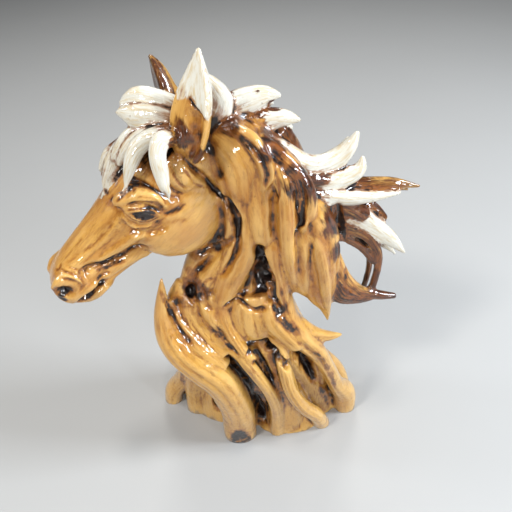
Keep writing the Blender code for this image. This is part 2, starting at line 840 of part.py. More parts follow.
class Chisel:
    """Cuts and raises strokes on a fused mesh, working in drawn millimetres."""

    def __init__(self, obj):
        self.mesh = obj.data
        points, self.normals = vertex_arrays(self.mesh)
        self.points = points / UNIT
        faces = [tuple(face.vertices) for face in self.mesh.polygons]
        self.tree = BVHTree.FromPolygons(self.points.tolist(), faces)
        self.moved = np.zeros_like(self.points)

    def on_surface(self, starts, direction):
        """Where rays from outside meet the surface, with the normals there. Misses are left out."""
        hits = []
        for start in starts:
            hit, normal, _, _ = self.tree.ray_cast(Vector(start), Vector(direction))
            if hit is not None:
                hits.append((*hit, *normal))
        return np.array(hits)

    def falloff(self, hits, width, sharp=1.0):
        """The points within width of the path of hits, the way out there, and 1 to 0 across it."""
        widest = width * (1 + SWELL)
        low, high = hits[:, :3].min(0) - widest, hits[:, :3].max(0) + widest
        near = np.flatnonzero(((self.points > low) & (self.points < high)).all(1))
        offsets = self.points[near, None] - hits[None, :, :3]
        reach = np.linalg.norm(offsets, axis=2)
        nearest = reach.argmin(1)
        swell = np.array([1 + SWELL * noise.noise(Vector(hit[:3]) / SWELL_LENGTH) for hit in hits])
        t = reach[np.arange(len(near)), nearest] / (width * swell[nearest])
        way = hits[nearest, 3:]
        facing = (self.normals[near] * way).sum(1) > FACING
        fall = np.where(facing & (t < 1), (1 - np.minimum(t, 1) ** 2) ** (2 * sharp), 0.0)
        ends = np.minimum(nearest + 1, len(hits) - nearest) / max(1, len(hits) * END_TAPER)
        return near, way, fall * np.minimum(1.0, ends)

    def stroke(self, hits, width, depth, sharp=1.0):
        """Pushes the surface in by depth along the path of hits, and by nothing at width from it."""
        if len(hits):
            near, way, fall = self.falloff(hits, width, sharp)
            self.moved[near] -= way * (fall * depth)[:, None]

    def on_head(self, points, width, depth, sides=(-1, 1), sharp=1.0):
        """A stroke through points given along and up the face, on both of its sides."""
        axes = head_axes()
        path = even_path(points)
        for side in sides:
            starts = [at_head(along, up, side * FAR_OUT) for along, up in path]
            self.stroke(self.on_surface(starts, -side * axes[2]), width, depth, sharp)

    def on_body(self, points, width, depth, side=-1, sharp=1.0):
        """A stroke through x, z points on the near side, or on the far side with side = 1."""
        starts = [(x, side * FAR_OUT, z) for x, z in even_path(points)]
        self.stroke(self.on_surface(starts, (0, -side, 0)), width, depth, sharp)

    def finish(self):
        self.mesh.vertices.foreach_set("co", ((self.points + self.moved) * UNIT).ravel())
        self.mesh.update()


def carve(chisel):
    for points, width, depth in HEAD_CUTS:
        chisel.on_head(points, width, depth)
    for points, width, depth in NEAR_CUTS:
        chisel.on_body(points, width, depth)
    for points, width, depth in FAR_CUTS:
        chisel.on_body(points, width, depth, side=1)


def cut_flat(obj):
    """Cuts the underside flat on z = 0."""
    shape = bmesh.new()
    shape.from_mesh(obj.data)
    everything = shape.verts[:] + shape.edges[:] + shape.faces[:]
    level = {"plane_co": (0, 0, 0), "plane_no": (0, 0, 1)}
    cut = bmesh.ops.bisect_plane(shape, geom=everything, clear_inner=True, **level)
    rim = [item for item in cut["geom_cut"] if isinstance(item, bmesh.types.BMEdge)]
    bmesh.ops.holes_fill(shape, edges=rim, sides=0)
    bmesh.ops.triangulate(shape, faces=shape.faces[:])
    shape.to_mesh(obj.data)
    shape.free()


def wood():
    material = bpy.data.materials.new("painted_resin")
    material.use_nodes = True
    shader = material.node_tree.nodes["Principled BSDF"]
    shader.inputs["Base Color"].default_value = (0.42, 0.22, 0.07, 1)
    shader.inputs["Roughness"].default_value = 0.2
    shader.inputs["Metallic"].default_value = 0.0
    return material


def add_statuette():
    clay = Clay()
    add_forms(clay)
    mesh = bpy.data.meshes.new(NODE)
    mesh.from_pydata((np.array(clay.points) * UNIT).tolist(), [], clay.faces)
    obj = bpy.data.objects.new(NODE, mesh)
    bpy.context.scene.collection.objects.link(obj)
    modify(obj, "REMESH", mode="VOXEL", voxel_size=VOXEL * UNIT)
    modify(obj, "SMOOTH", factor=0.5, iterations=2)
    bake(obj)
    chisel = Chisel(obj)
    carve(chisel)
    chisel.finish()
    modify(obj, "REMESH", mode="VOXEL", voxel_size=VOXEL * UNIT)
    modify(obj, "SMOOTH", factor=0.5, iterations=1)
    bake(obj)
    faces = sum(len(face.vertices) - 2 for face in obj.data.polygons)
    modify(obj, "DECIMATE", ratio=TRIANGLES / faces)
    bake(obj)
    cut_flat(obj)
    obj.data.materials.append(wood())
    return obj


def main():
    for obj in list(bpy.data.objects):
        bpy.data.objects.remove(obj)
    return add_statuette()


if __name__ == "__main__":
    main()
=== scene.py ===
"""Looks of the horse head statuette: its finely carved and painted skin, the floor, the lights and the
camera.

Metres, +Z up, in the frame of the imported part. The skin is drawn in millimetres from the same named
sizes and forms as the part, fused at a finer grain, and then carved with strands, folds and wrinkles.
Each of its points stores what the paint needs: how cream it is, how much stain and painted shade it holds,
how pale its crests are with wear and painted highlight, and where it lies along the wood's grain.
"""

import math

import bmesh
import bpy
import numpy as np
from mathutils import Matrix, Vector, noise
from mathutils.bvhtree import BVHTree
from mathutils.kdtree import KDTree


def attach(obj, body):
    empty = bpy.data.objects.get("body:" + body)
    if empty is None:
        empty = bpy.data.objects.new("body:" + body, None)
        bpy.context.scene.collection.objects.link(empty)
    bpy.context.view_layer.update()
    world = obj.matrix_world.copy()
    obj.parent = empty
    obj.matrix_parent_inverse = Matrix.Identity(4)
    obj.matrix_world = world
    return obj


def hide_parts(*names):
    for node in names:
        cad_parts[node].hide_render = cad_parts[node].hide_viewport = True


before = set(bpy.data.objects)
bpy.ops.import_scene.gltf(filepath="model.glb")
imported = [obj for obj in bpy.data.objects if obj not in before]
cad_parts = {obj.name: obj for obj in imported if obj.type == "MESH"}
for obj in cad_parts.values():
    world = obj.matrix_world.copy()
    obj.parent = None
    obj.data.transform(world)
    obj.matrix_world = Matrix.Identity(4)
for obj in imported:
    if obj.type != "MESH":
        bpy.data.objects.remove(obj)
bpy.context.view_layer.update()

HEIGHT = 0.310
DRAWN_HEIGHT = 310.0
POLL = (-20.0, 0.0, 262.0)
HEAD_TURN = 22.0
HEAD_DROP = 40.0

NODE = "horse_head_statuette"
PIECE = "carved_skin"
VOXEL = 1.1
FINE_VOXEL = 0.85
TRIANGLES = 190000
CURVE_STEPS = 8
SECTION_STEPS = 4
HEAD_SIDES = 32
STROKE_STEP = 0.6
LOCK_SIDES = 20
LEAST_HALF = 1.2
NEAR_FACE = (0.0, -1.0, 0.0)
FAR_FACE = (0.0, 1.0, 0.0)
CUPS = {"ear": 0.7, "mane": 0.12, "forelock": 0.05}
FAR_OUT = 150.0
FACING = -0.1
END_TAPER = 0.2
SWELL = 0.55
SWELL_LENGTH = 9.0
UNIT = HEIGHT / DRAWN_HEIGHT

STRAND_SPREAD = 0.75
STRAND_SHARE = 0.16
STRAND_WIDTHS = (0.9, 1.7)
STRAND_SEED = 7
STAIN_SPREAD = 1.6
WOBBLE_SHARE = 0.08
OUTLINE_EDGE = (0.92, 1.02)
SEAM_EDGE = (0.1, 0.9)
# How convex a crest is where its paler paint, partly wear and partly painted highlight, starts and is full
WEAR_AND_HIGHLIGHT_EDGES = (0.05, 0.6)
PATCH_WALNUT = (0.95, 0.4, 1.3)
# Painted shade in hollows and in places shut in by other parts: amount, and where it starts and is full
HOLLOW_SHADE = (0.6, 0.1, 0.55)
FINE_HOLLOW_SHADE = (0.3, 0.03, 0.14)
SHUT_IN_SHADE = (0.5, 0.22, 0.55)
DEEP_SHUT_IN_SHADE = (0.9, 0.5, 0.75)
# Painted shade in the seams where one lock meets the next, more on cream locks
SEAM_SHADE = 0.35
CREAM_SEAM_SHADE = 0.25
OUTLINE_STAIN = 0.65
FINE_ROUNDS = 3
BROAD_ROUNDS = 12
AIR_ROUNDS = 4
CLAIM_SHARE = 1.6
CLAIM_ROOM = 2.0
NEAR_SIDE = 4.0
FACE_START = 4.0
FACE_LEVELS = (-52.0, 22.0)
FAR_STAIN = 1.2
FAR_DEPTH = 0.4
FAR_OFF = 99.0
# How much of the painted shade in hollows the ears keep
EAR_SHADE_SHARE = 0.4
AIR_RAYS = 18
AIR_START = 0.4
AIR_REACH = 22.0
SLANT = 0.06
SMOOTH_CREAM = 0.3
LOCK_REACH = 1.8
WOBBLE_SCALE = 0.22
GRAIN_BODY = np.array([0.9, 0.9, 0.14])
GRAIN_HEAD = np.array([0.14, 0.9, 0.9])
GRAIN_LOCK = np.array([0.14, 6.0, 7.3])

HONEY = (0.45, 0.235, 0.05, 1)
GOLDEN = (0.34, 0.14, 0.018, 1)
ORANGE = (0.26, 0.085, 0.010, 1)
YELLOW = (0.46, 0.255, 0.05, 1)
PALE_WEAR_AND_HIGHLIGHT = (0.62, 0.40, 0.14, 1)
BROWN = (0.10, 0.034, 0.008, 1)
CHESTNUT = (0.085, 0.024, 0.006, 1)
RUST = (0.19, 0.060, 0.010, 1)
NEAR_BLACK = (0.009, 0.004, 0.003, 1)
IVORY = (0.53, 0.515, 0.45, 1)
CREAM_SHADE = (0.46, 0.37, 0.235, 1)
FLOOR_TONE = (0.31, 0.307, 0.298, 1)
FLOOR_SHADE = (0.295, 0.292, 0.283, 1)
FLOOR_REACH = 3.0

CAMERA_PLACE = (0.0106, -0.2423, 0.385)
CAMERA_DOWN = 41.3
CAMERA_ROLL = -3.2
CAMERA_LENS = 35.93
SENSOR = 36.0
AIM = (0.0, 0.0, 0.15)
WORLD_STRENGTH = 0.10
WHITE = (1.0, 0.98, 0.95)
COOL = (0.82, 0.9, 1.0)

# Soft boxes: name, place, size in metres, watts, tone
LIGHTS = [
    ("key", (-0.7, -0.6, 1.3), 0.2, 15, WHITE),
    ("front", (0.3, -1.1, 1.0), 0.16, 5, WHITE),
    ("low_front", (-0.25, -1.1, 0.4), 0.16, 4, WHITE),
    ("low_right", (0.8, -0.8, 0.35), 0.18, 7, COOL),
    ("window", (1.0, -0.1, 0.75), 0.3, 22, COOL),
    ("ceiling", (-0.1, -0.05, 1.5), 0.15, 6, WHITE),
    ("back", (0.1, 0.9, 1.2), 0.4, 8, WHITE),
    ("lamp_left", (-1.1, 0.1, 0.9), 0.15, 5, COOL),
]

# Head sections in mm: along, top, bottom, widest level, half width, upper power, lower power
HEAD_RINGS = [
    (-16, -4, -30, -14, 11, 2, 2), (-6, 4, -42, -12, 15, 2, 2), (6, 9, -48, -9, 18, 2.2, 2.2),
    (20, 12.5, -48, -6, 20, 2.3, 2.4), (34, 13.5, -47, -4, 20.5, 2.4, 2.6),
    (46, 13, -42, -3, 20, 2.6, 2.6), (56, 12, -33, -3, 17.5, 2.6, 2.6),
    (68, 11.5, -32, -3, 14.5, 2.5, 2.2), (80, 11.5, -28, -3, 12.5, 2.4, 2.1),
    (92, 11, -25, -3, 12, 2.4, 2.1), (102, 10, -22, -3, 13, 2.4, 2.3),
    (110, 7.5, -19, -4, 13.5, 2.4, 2.4), (116.5, 3.5, -16, -5, 11, 2.3, 2.3),
    (120, -2, -11, -6, 6, 2, 2),
]

# Bulges on each side of the head in mm: along, up, sideways, and the three radii
HEAD_BULGES = [
    (39, -23, 14.5, 26, 24.5, 8.5), (46, 0.5, 16.5, 6, 6.5, 5.5), (20, -2, 15, 13, 11, 7.5),
    (108, 0, 9, 8.5, 8, 5), (70, -9, 9, 22, 5, 5),
]

# Ridges on each side of the head in mm: rows of along, up, sideways and half width
HEAD_RIDGES = {
    "brow": [
        (51, 12, 13, 3), (45, 11.5, 16, 4), (39, 7.5, 18.5, 4.5), (35.5, 0, 19.5, 4.5),
        (36.5, -7, 20, 3),
    ],
    "upper_lid": [
        (50, 9, 18, 1.4), (46.5, 7, 20, 2), (43.5, 2.5, 21.2, 2.4), (42, -3, 21.2, 2.2),
        (40.5, -7, 20, 1.4),
    ],
    "lower_lid": [
        (50.5, 8, 18.5, 1.3), (49.8, 3.5, 20.3, 1.8), (48, -2.5, 20.6, 1.8), (44, -6.5, 20.4, 1.4),
    ],
    "eye_bag": [
        (54, 7, 17, 1.5), (54, 0, 18, 2.6), (51, -6.5, 19, 2.8), (46, -10.5, 19.5, 2.4),
        (41, -10, 19.5, 1.4),
    ],
    "cheek_bone": [(54, -8, 18, 3), (66, -6.5, 14.5, 3), (80, -4, 11.5, 2.5), (90, -2, 10, 2)],
    "nostril_rim": [
        (114, 5, 8, 1.6), (107, 6.8, 9.5, 2), (101, 4.5, 11, 2.2), (99.5, -1, 12, 2.4), (102, -6, 12, 2),
    ],
    "upper_lip": [(117, -8, 7, 2.4), (110, -9, 10, 3), (103, -9.5, 11, 3), (97, -11.5, 10.5, 2.4)],
    "lower_lip": [(114, -17.5, 5, 2.4), (106, -18.5, 7.5, 3), (98, -19.5, 7.5, 2.6)],
    "jaw_bar": [(94, -13, 9.5, 3), (84, -14.5, 9, 4), (74, -18, 9, 4.5), (66, -23, 9.5, 4)],
}

# Bulges on the head's middle plane in mm: along, up, and the three radii
MIDDLE_BULGES = [
    (101, -20.5, 10, 5.5, 8), (112, -14.5, 7, 5, 9), (104, -16, 12, 5, 10.5),
]

# Every lock is a row of points in mm: x, y, z, half width, half thickness
EARS = {
    "near": [
        (-20, -22, 258, 7, 7), (-19, -25, 268, 9.5, 7), (-16, -25, 280, 10.5, 6),
        (-12, -23, 294, 8, 4.5), (-9, -20, 310, 0.8, 0.8),
    ],
    "far": [
        (-29, 12, 256, 7, 7), (-31, 15, 265, 8.5, 6.5), (-34, 18, 275, 7.5, 5), (-36, 20, 285, 5.5, 3.5),
        (-38, 20, 294, 0.8, 0.8),
    ],
}

EAR_FACES = {"near": (-0.55, -0.83, 0.0), "far": (-0.9, -0.4, 0.0)}

FORELOCK = {
    "upper": [
        (-22, -4, 274, 6, 5), (-33, -8, 281, 6.5, 4), (-42, -8, 283.5, 5.5, 4), (-51, -8, 281, 1, 1),
    ],
    "lower": [
        (-22, -8, 268, 6, 5), (-33, -12, 274.5, 6.5, 4), (-44, -12, 276.5, 6, 4), (-53, -10, 278, 1, 1),
    ],
    "outer": [
        (-25, -10, 265, 5, 5), (-37, -12, 268.5, 5, 4), (-46, -13, 267, 4.5, 3.5),
        (-53, -14, 261.5, 3.5, 3), (-60, -14, 253, 1, 1),
    ],
    "outer_two": [
        (-27, -14, 266, 4, 4), (-37, -17, 268, 4.5, 3.5), (-44, -18, 265.5, 4.5, 3.5),
        (-50, -18, 260, 3.5, 3), (-56, -17, 252, 1, 1),
    ],
    "middle": [
        (-26, -17, 269, 4, 4), (-36, -22, 269.5, 4.5, 4), (-43, -25, 265.5, 4.5, 4),
        (-47.5, -27, 257.5, 3.6, 3), (-52, -28, 246, 1, 1),
    ],
    "near": [
        (-24, -24, 270, 4, 4), (-30, -30, 271.5, 4.5, 4.5), (-32, -34, 266.5, 4.2, 3.8),
        (-31.5, -36, 258.5, 4, 3.2), (-30.5, -38, 251, 2.8, 2.4), (-28.5, -40, 243, 1, 1),
    ],
    "far": [
        (-40, -8, 264, 4.5, 4), (-48, -10, 262.5, 5, 4), (-56, -11, 256, 5, 4), (-62, -13, 247, 4, 3),
        (-66, -14, 238, 2.5, 2), (-69, -15, 229, 1, 1),
    ],
    "tiny": [
        (-46, -4, 263, 4, 4), (-55, -6, 258, 4, 3.5), (-62, -5, 253.5, 3.5, 3), (-66, -5, 249, 2.5, 2.5),
        (-70, -6, 243, 1, 1),
    ],
    "away": [(-26, 8, 270, 6, 5), (-40, 10, 266, 6, 4), (-50, 12, 256, 4, 3), (-55, 13, 246, 1, 1)],
}

MANE = {
    "poll_fan": [
        (-12, -6, 262, 9, 8), (-7, -8, 272, 9, 7), (-3, -10, 281, 7, 5.5), (-5, -13, 289, 4.5, 4),
        (-8, -16, 296, 1.5, 1.5),
    ],
    "first": [
        (-10, -3, 263, 8, 8), (0, -3, 272, 7.5, 6), (11, -2, 276, 7.5, 5), (20, -1, 278, 5, 4),
        (28, 0, 277, 1, 1),
    ],
    "second": [(2, -3, 260, 8, 7), (15, -3, 265, 7, 5), (28, -2, 266, 5, 4), (38, 0, 263, 1, 1)],
    "long": [
        (2, -5, 264, 8, 8), (14, -9, 259, 7, 6.5), (28, -10, 250.5, 6, 5), (39, -9, 243, 5.5, 5),
        (49, -6, 240, 6, 4.5), (58, -4, 243, 6, 4), (64, -3, 249.5, 4, 3.5), (67.5, -2, 257, 1, 1),
    ],
    "under": [
        (20, -9, 247, 8, 7), (36, -10, 236, 7, 6), (50, -8, 231, 6, 5), (61, -6, 231, 6, 4),
        (69, -5, 235, 4.5, 3), (71, -4, 243, 1, 1),
    ],
    "streamer": [
        (24, -3, 238, 10, 7), (40, -3, 229, 8, 6), (56, -2, 223, 6, 5), (73, -1, 222, 5, 4),
        (90, -1, 222, 3.5, 3.5), (107, 0, 218, 1, 1),
    ],
    "streamer_low": [
        (30, -9, 231, 8, 6), (44, -10, 224, 6, 5), (60, -8, 219.5, 5, 4), (76, -6, 217, 4, 3),
        (95, -4, 217, 1, 1),
    ],
    "blade": [
        (32, -4, 218, 11, 8), (50, -4, 212, 9, 6), (66, -4, 206, 8, 5), (80, -3, 194, 7, 4),
        (93, -3, 183, 5, 3.5), (105, -2, 169, 1, 1),
    ],
    "spur": [(50, 2, 213, 8, 6), (66, 2, 211, 5, 4), (80, 1, 205, 4, 3), (90, 0, 196, 2, 2)],
    "curl": [
        (36, -4, 206, 10, 8), (50, -4, 202, 7, 6), (64, -4, 196, 5, 4.5), (77, -4, 188, 3.5, 3.5),
        (86, -4, 175, 3, 3), (88, -4, 160, 2.6, 2.6), (86, -5, 143, 2.6, 2.6),
    ],
    "curl_inner": [
        (40, -8, 200, 9, 7), (53, -7, 193, 4, 4), (65, -6, 187, 2.6, 2.6), (76, -5, 178, 2.4, 2.4),
        (85, -4, 165, 2.4, 2.4),
    ],
    "loop": [
        (38, -6, 205, 10, 8), (50, -7, 192, 6, 6), (57, -9, 177, 5.5, 5), (65, -10, 159, 5, 4.5),
        (76, -9, 145, 4.5, 4), (90, -7, 138, 3.5, 3.5), (103, -6, 135, 2, 2),
    ],
    "scoop": [
        (54, -9, 170, 4, 4), (58, -11, 157, 6, 5), (64, -12, 146, 7, 5), (75, -10, 140, 5, 4),
        (86, -8, 138, 3, 3),
    ],
}

NECK = {
    "lobe": [
        (28, -10, 226, 10, 10), (40, -14, 212, 13, 10), (46, -15, 194, 14, 9), (47, -15, 172, 14, 8),
        (50, -14, 150, 9, 6), (54, -13, 136, 4, 3.5), (57, -12, 121, 0.8, 0.8),
    ],
    "lobe_inner": [
        (28, -16, 215, 8, 8), (34, -19, 198, 9, 7), (36, -19, 178, 9, 6), (39, -17, 160, 6, 4),
        (42, -15, 149, 1.5, 1.5),
    ],
    "lobe_ridge": [
        (40, -20, 210, 4, 4), (46, -22, 196, 4, 4), (50, -22, 176, 4, 4), (53, -19, 154, 3.5, 3),
        (57, -14, 128, 1, 1),
    ],
    "ridge": [
        (20, -14, 257, 4, 4), (23, -18, 250, 5, 5.5), (26, -21, 240, 5, 5.5), (28, -22, 228, 5, 5.5),
        (28.5, -23, 209, 5, 6), (29.5, -22, 192, 5, 6), (32, -20, 172, 4, 4.5), (34, -17, 156, 1.5, 1.5),
    ],
    "hump": [
        (-4, -8, 266, 9, 7), (3, -13, 260, 12, 8), (8, -16, 249, 13, 8), (9, -16, 232, 12, 8),
        (9, -14, 214, 9, 6),
    ],
    "crest_strand": [
        (4, -16, 269, 3, 3), (11, -21, 265.5, 4, 4), (16, -24, 258, 4, 4), (18.5, -25, 248, 3.5, 3.5),
        (17, -25, 238, 1, 1),
    ],
    "curled": [
        (14, -14, 260, 6, 5), (26, -18, 252, 5, 5), (36, -20, 240, 5, 5), (40, -21, 227, 5, 4.5),
        (38, -22, 215, 4, 4), (33, -23, 204, 1, 1),
    ],
    "crest_back": [
        (4, 0, 258, 12, 10), (18, 0, 246, 12, 10), (31, 0, 229, 12, 9), (40, 0, 210, 11, 9),
        (45, -2, 192, 10, 9),
    ],
    "throat_strap": [
        (-4, -15, 242, 4, 4), (-1, -17, 230, 4.5, 4), (0, -18, 217, 5, 4), (-2, -18, 202, 5, 4),
        (-7, -18, 190, 4, 3), (-14, -18, 180, 1.5, 1.5),
    ],
    "throat_fan": [
        (-12, -8, 205, 7, 7), (-20, -10, 190, 8, 7), (-28, -12, 174, 7, 6), (-34, -14, 162, 5, 4),
    ],
    "throat_fan_near": [
        (-6, -13, 200, 6, 6), (-12, -15, 186, 6, 6), (-20, -18, 172, 6, 5), (-25, -20, 160, 3, 3),
    ],
    "front_sweep": [
        (4, -8, 252, 4, 4), (5, -15, 236, 9, 7), (6, -17, 216, 10, 7), (3, -18, 194, 10, 7),
        (-6, -19, 172, 9, 6), (-13, -20, 152, 6, 5), (-17, -23, 138, 4, 4),
    ],
    "shoulder": [
        (10, -8, 262, 4, 4), (11, -15, 248, 9, 8), (14, -17, 230, 11, 8), (15, -18, 212, 10, 8),
        (15, -17, 196, 7, 6), (16, -14, 182, 2, 2),
    ],
    "trunk_right": [
        (20, -12, 212, 4, 4), (20, -18, 198, 7, 7), (21, -20, 184, 6, 6), (24, -20, 166, 5, 5),
        (26, -19, 148, 5, 5), (26, -18, 130, 6, 6),
    ],
}

ROOTS = {
    "horn": [
        (-46, -21, 178, 0.8, 0.8), (-48, -23, 164, 3.4, 3), (-50, -25, 148, 5.5, 5),
        (-48, -27, 131, 8.5, 8), (-41, -29, 117, 11, 10), (-30, -31, 104, 12.5, 11),
        (-20, -31, 88, 12.5, 11), (-14, -28, 66, 12.5, 11.5), (-10, -24, 38, 13, 11.5),
        (-10, -21, 14, 13.5, 11.5), (-10, -20, -8, 13.5, 11.5),
    ],
    "horn_inner": [
        (-45, -21, 158, 2, 2), (-42, -24, 141, 5, 5), (-34, -27, 126, 7, 7), (-24, -29, 114, 7, 7),
        (-15, -29, 102, 6, 6),
    ],
    "left_foot": [
        (-26, -4, 94, 14, 13), (-39, 0, 74, 10, 10), (-47, 5, 54, 8, 8), (-55, 10, 34, 7.5, 7.5),
        (-65, 14, 14, 8, 8), (-69, 16, -8, 7.5, 7.5),
    ],
    "left_wall": [(-22, -10, 98, 12, 10), (-34, -3, 64, 12, 9), (-41, 3, 30, 12, 8), (-42, 5, -8, 14, 8)],
    "saddle": [(-46, -17, 146, 4, 4), (-41, -15, 155, 6, 5), (-34, -13, 164, 7, 6)],
    "fan": [(-34, -16, 158, 7, 6), (-32, -20, 142, 7, 6), (-24, -24, 126, 7, 6), (-14, -27, 112, 6, 6)],
    "column_left": [
        (-22, -19, 160, 6, 6), (-19, -22, 142, 6, 6), (-12, -26, 124, 5, 5), (-2, -30, 108, 4, 4),
    ],
    "column": [
        (-14, -20, 152, 5, 5), (-11, -23, 136, 5, 5), (-4, -28, 120, 4.5, 4.5), (5, -31, 104, 4, 4),
    ],
    "plate": [
        (6, -18, 158, 10, 7), (6, -20, 146, 14, 7), (7, -22, 134, 15, 6), (8, -23, 126, 13, 4.5),
        (9, -24, 121, 8, 2.5),
    ],
    "plate_right": [
        (16, -19, 152, 8, 7), (19, -22, 138, 9, 7), (26, -24, 126, 8, 6), (36, -25, 112, 6, 5),
    ],
    "right_root": [
        (22, -14, 166, 7, 7), (26, -17, 150, 7, 7), (29, -19, 134, 7.5, 7.5), (38, -21, 116, 8, 8),
        (50, -20, 97, 6.5, 6.5), (59, -16, 72, 6, 6), (67, -11, 46, 6.5, 6.5), (76, -3, 22, 9.5, 9),
        (79, 1, -8, 9, 10),
    ],
    "spike": [
        (33, -18, 128, 7, 6), (43, -18, 117, 6.5, 5.5), (52, -16, 110.5, 5, 4), (60, -14, 107, 3.5, 3),
        (68, -12, 105.5, 1, 1),
    ],
    "middle_root": [
        (20, -22, 122, 5, 5), (24, -27, 108, 5, 5), (26, -30, 92, 5, 5), (30, -31, 70, 5, 5),
        (39, -29, 46, 5.5, 5.5), (51, -23, 22, 6, 6), (59, -14, -8, 6.5, 6.5),
    ],
    "bar": [
        (-10, -24, 124, 4, 4), (-2, -30, 109, 4.5, 4.5), (6, -32, 93, 4.5, 4.5), (13, -31, 74, 4.5, 4.5),
        (18, -28, 52, 5, 5), (20, -24, 26, 5.5, 5.5), (20, -20, -8, 6.5, 6.5),
    ],
    "cave_wall": [
        (8, -11, 134, 11, 7), (12, -15, 114, 12, 6), (17, -20, 92, 13, 6), (22, -22, 68, 13, 6),
        (26, -20, 40, 13, 7), (28, -17, -8, 15, 8),
    ],
    "skirt": [(20, -10, 66, 10, 8), (27, -12, 42, 14, 8), (29, -13, 18, 20, 9), (29, -15, -8, 25, 12)],
    "right_wall": [(24, 0, 118, 12, 10), (36, 2, 92, 12, 9), (48, 3, 60, 12, 8), (56, 3, -8, 14, 8)],
    "back_left": [
        (-18, 6, 138, 3, 3), (-24, 12, 116, 10, 9), (-36, 18, 84, 11, 10), (-44, 23, 44, 9, 9),
        (-56, 26, 14, 9, 9), (-60, 28, -8, 9, 9),
    ],
    "back_heel": [
        (-11, 8, 148, 3, 3), (-13, 17, 124, 9, 8), (-18, 24, 88, 9, 9), (-22, 30, 48, 8, 8),
        (-24, 36, 14, 9, 8), (-25, 38, -8, 10, 9),
    ],
    "back_middle": [
        (5, 10, 162, 3, 3), (7, 18, 134, 9, 8), (10, 24, 98, 10, 9), (10, 30, 56, 9, 8),
        (16, 35, 18, 9, 9), (18, 37, -8, 10, 9),
    ],
    "back_right": [
        (20, 6, 144, 3, 3), (25, 13, 118, 10, 9), (36, 17, 88, 9, 9), (52, 21, 50, 8, 8),
        (72, 23, 18, 8.5, 8.5), (80, 22, -8, 8.5, 8.5),
    ],
}

# The far side of the neck, plainer than the near side
NECK_BACK = {
    "sweep_one": [
        (2, 8, 264, 3, 3), (-1, 16, 246, 8, 7), (2, 22, 218, 10, 8), (-4, 22, 186, 9, 8),
        (-14, 20, 154, 8, 8), (-19, 17, 130, 5, 5), (-21, 13, 112, 2, 2),
    ],
    "sweep_two": [
        (16, 8, 264, 3, 3), (17, 16, 248, 8, 7), (21, 21, 222, 10, 8), (17, 23, 190, 9, 8),
        (10, 22, 158, 8, 8), (5, 19, 132, 5, 5), (3, 15, 112, 2, 2),
    ],
    "sweep_three": [
        (27, 4, 258, 3, 3), (30, 10, 244, 8, 7), (37, 14, 218, 10, 8), (41, 13, 194, 9, 7),
        (43, 8, 172, 7, 6), (50, 0, 148, 2, 2),
    ],
    "sweep_four": [
        (26, 8, 218, 3, 3), (26, 16, 198, 6, 6), (27, 18, 178, 7, 7), (24, 18, 154, 7, 7),
        (24, 15, 132, 5, 5), (24, 11, 112, 2, 2),
    ],
}

# The mane's locks that are repeated on its far side, and how far back, down and thinner they lie
FAR_LOCKS = ("first", "second", "long", "streamer", "blade", "curl", "scoop")
FAR_SHIFT = (-3.0, 9.0, -8.0)
FAR_SLIM = 0.85

# Level sections of the neck and stump in mm: z, centre x, centre y, half x, half y
TRUNK = [
    (264, -10, 0, 12, 11), (254, -2, 0, 22, 15), (240, 7, 0, 29, 18), (222, 12, 0, 31, 19),
    (204, 12, 0, 31, 20), (186, 7, 0, 30, 20), (168, -4, 0, 28, 20), (150, -10, 0, 28, 20),
    (132, -10, 0, 32, 21), (110, -6, 2, 36, 24), (84, -2, 4, 39, 23), (54, 5, 6, 45, 23),
    (24, 12, 8, 56, 24), (-8, 14, 9, 62, 25),
]


# Paths that are both cut and stained, the cave's brow and the slots with painted shade: along and up on the
# face, and x, z on the near side, in mm
JAW_LINE = [(61, -42), (52, -49), (40, -51), (28, -48), (19, -38)]
THROAT_FOLD = [(-5, 237), (-1, 224), (1, 213), (0, 200), (-5, 187), (-12, 176)]
CREST_EDGE = [(34, 246), (37, 232), (36, 218), (32, 206)]
SHOULDER_EDGE = [(8, 268), (14, 260), (18, 250), (17, 238)]
CAVE_BROW = [(0, 114), (7, 117), (15, 116), (22, 110)]
FRONT_SLOT = [(-9, 104), (-3, 89), (5, 71), (11, 56), (14, 44)]
MIDDLE_SLOT = [(4, 110), (9, 100), (14, 88), (18, 76)]
LOW_SLOT = [(3, 44), (7, 27), (10, 6)]
HORN_FOLD = [(-46, 164), (-44, 152), (-40, 139), (-32, 126)]
FOOT_SLOT = [(-27, 74), (-28, 52), (-28, 30), (-26, 14)]

# Cuts on both sides of the face: points along and up in mm, half width, depth
HEAD_CUTS = [
    ([(47, 9), (44, 8.5), (41, 4.5), (39.5, -2), (38.5, -8)], 2.6, 2.2),
    ([(53, 3), (52, -3), (48, -7.5), (43, -8.5)], 2.4, 1.4),
    ([(57, 6), (57, -1), (54, -8), (48, -13), (42, -12)], 3.5, 1.8),
    ([(48, 14), (40, 13.5), (33, 8), (31, 0), (33, -8)], 3, 2),
    ([(112.5, 2.5), (110, 0)], 6.8, 6.5),
    ([(117, -2), (116, -4)], 3, 1.6),
    ([(116, -12), (108, -13.2), (99, -14.8), (95, -14.5)], 3.8, 5.4),
    ([(100, -6), (93, -1), (85, -6), (76, -10), (69, -13), (61, -18)], 3.4, 2.6),
    ([(97, -17), (88, -19), (77, -23), (68, -27)], 3, 2),
    ([(29, 8), (27, 0), (28, -8), (32, -13)], 3, 1.4),
    ([(10, 8), (12, -6), (13, -16), (15, -24), (16, -31), (19, -40), (25, -47)], 2.8, 3.4),
    (JAW_LINE, 3.6, 2.6),
]

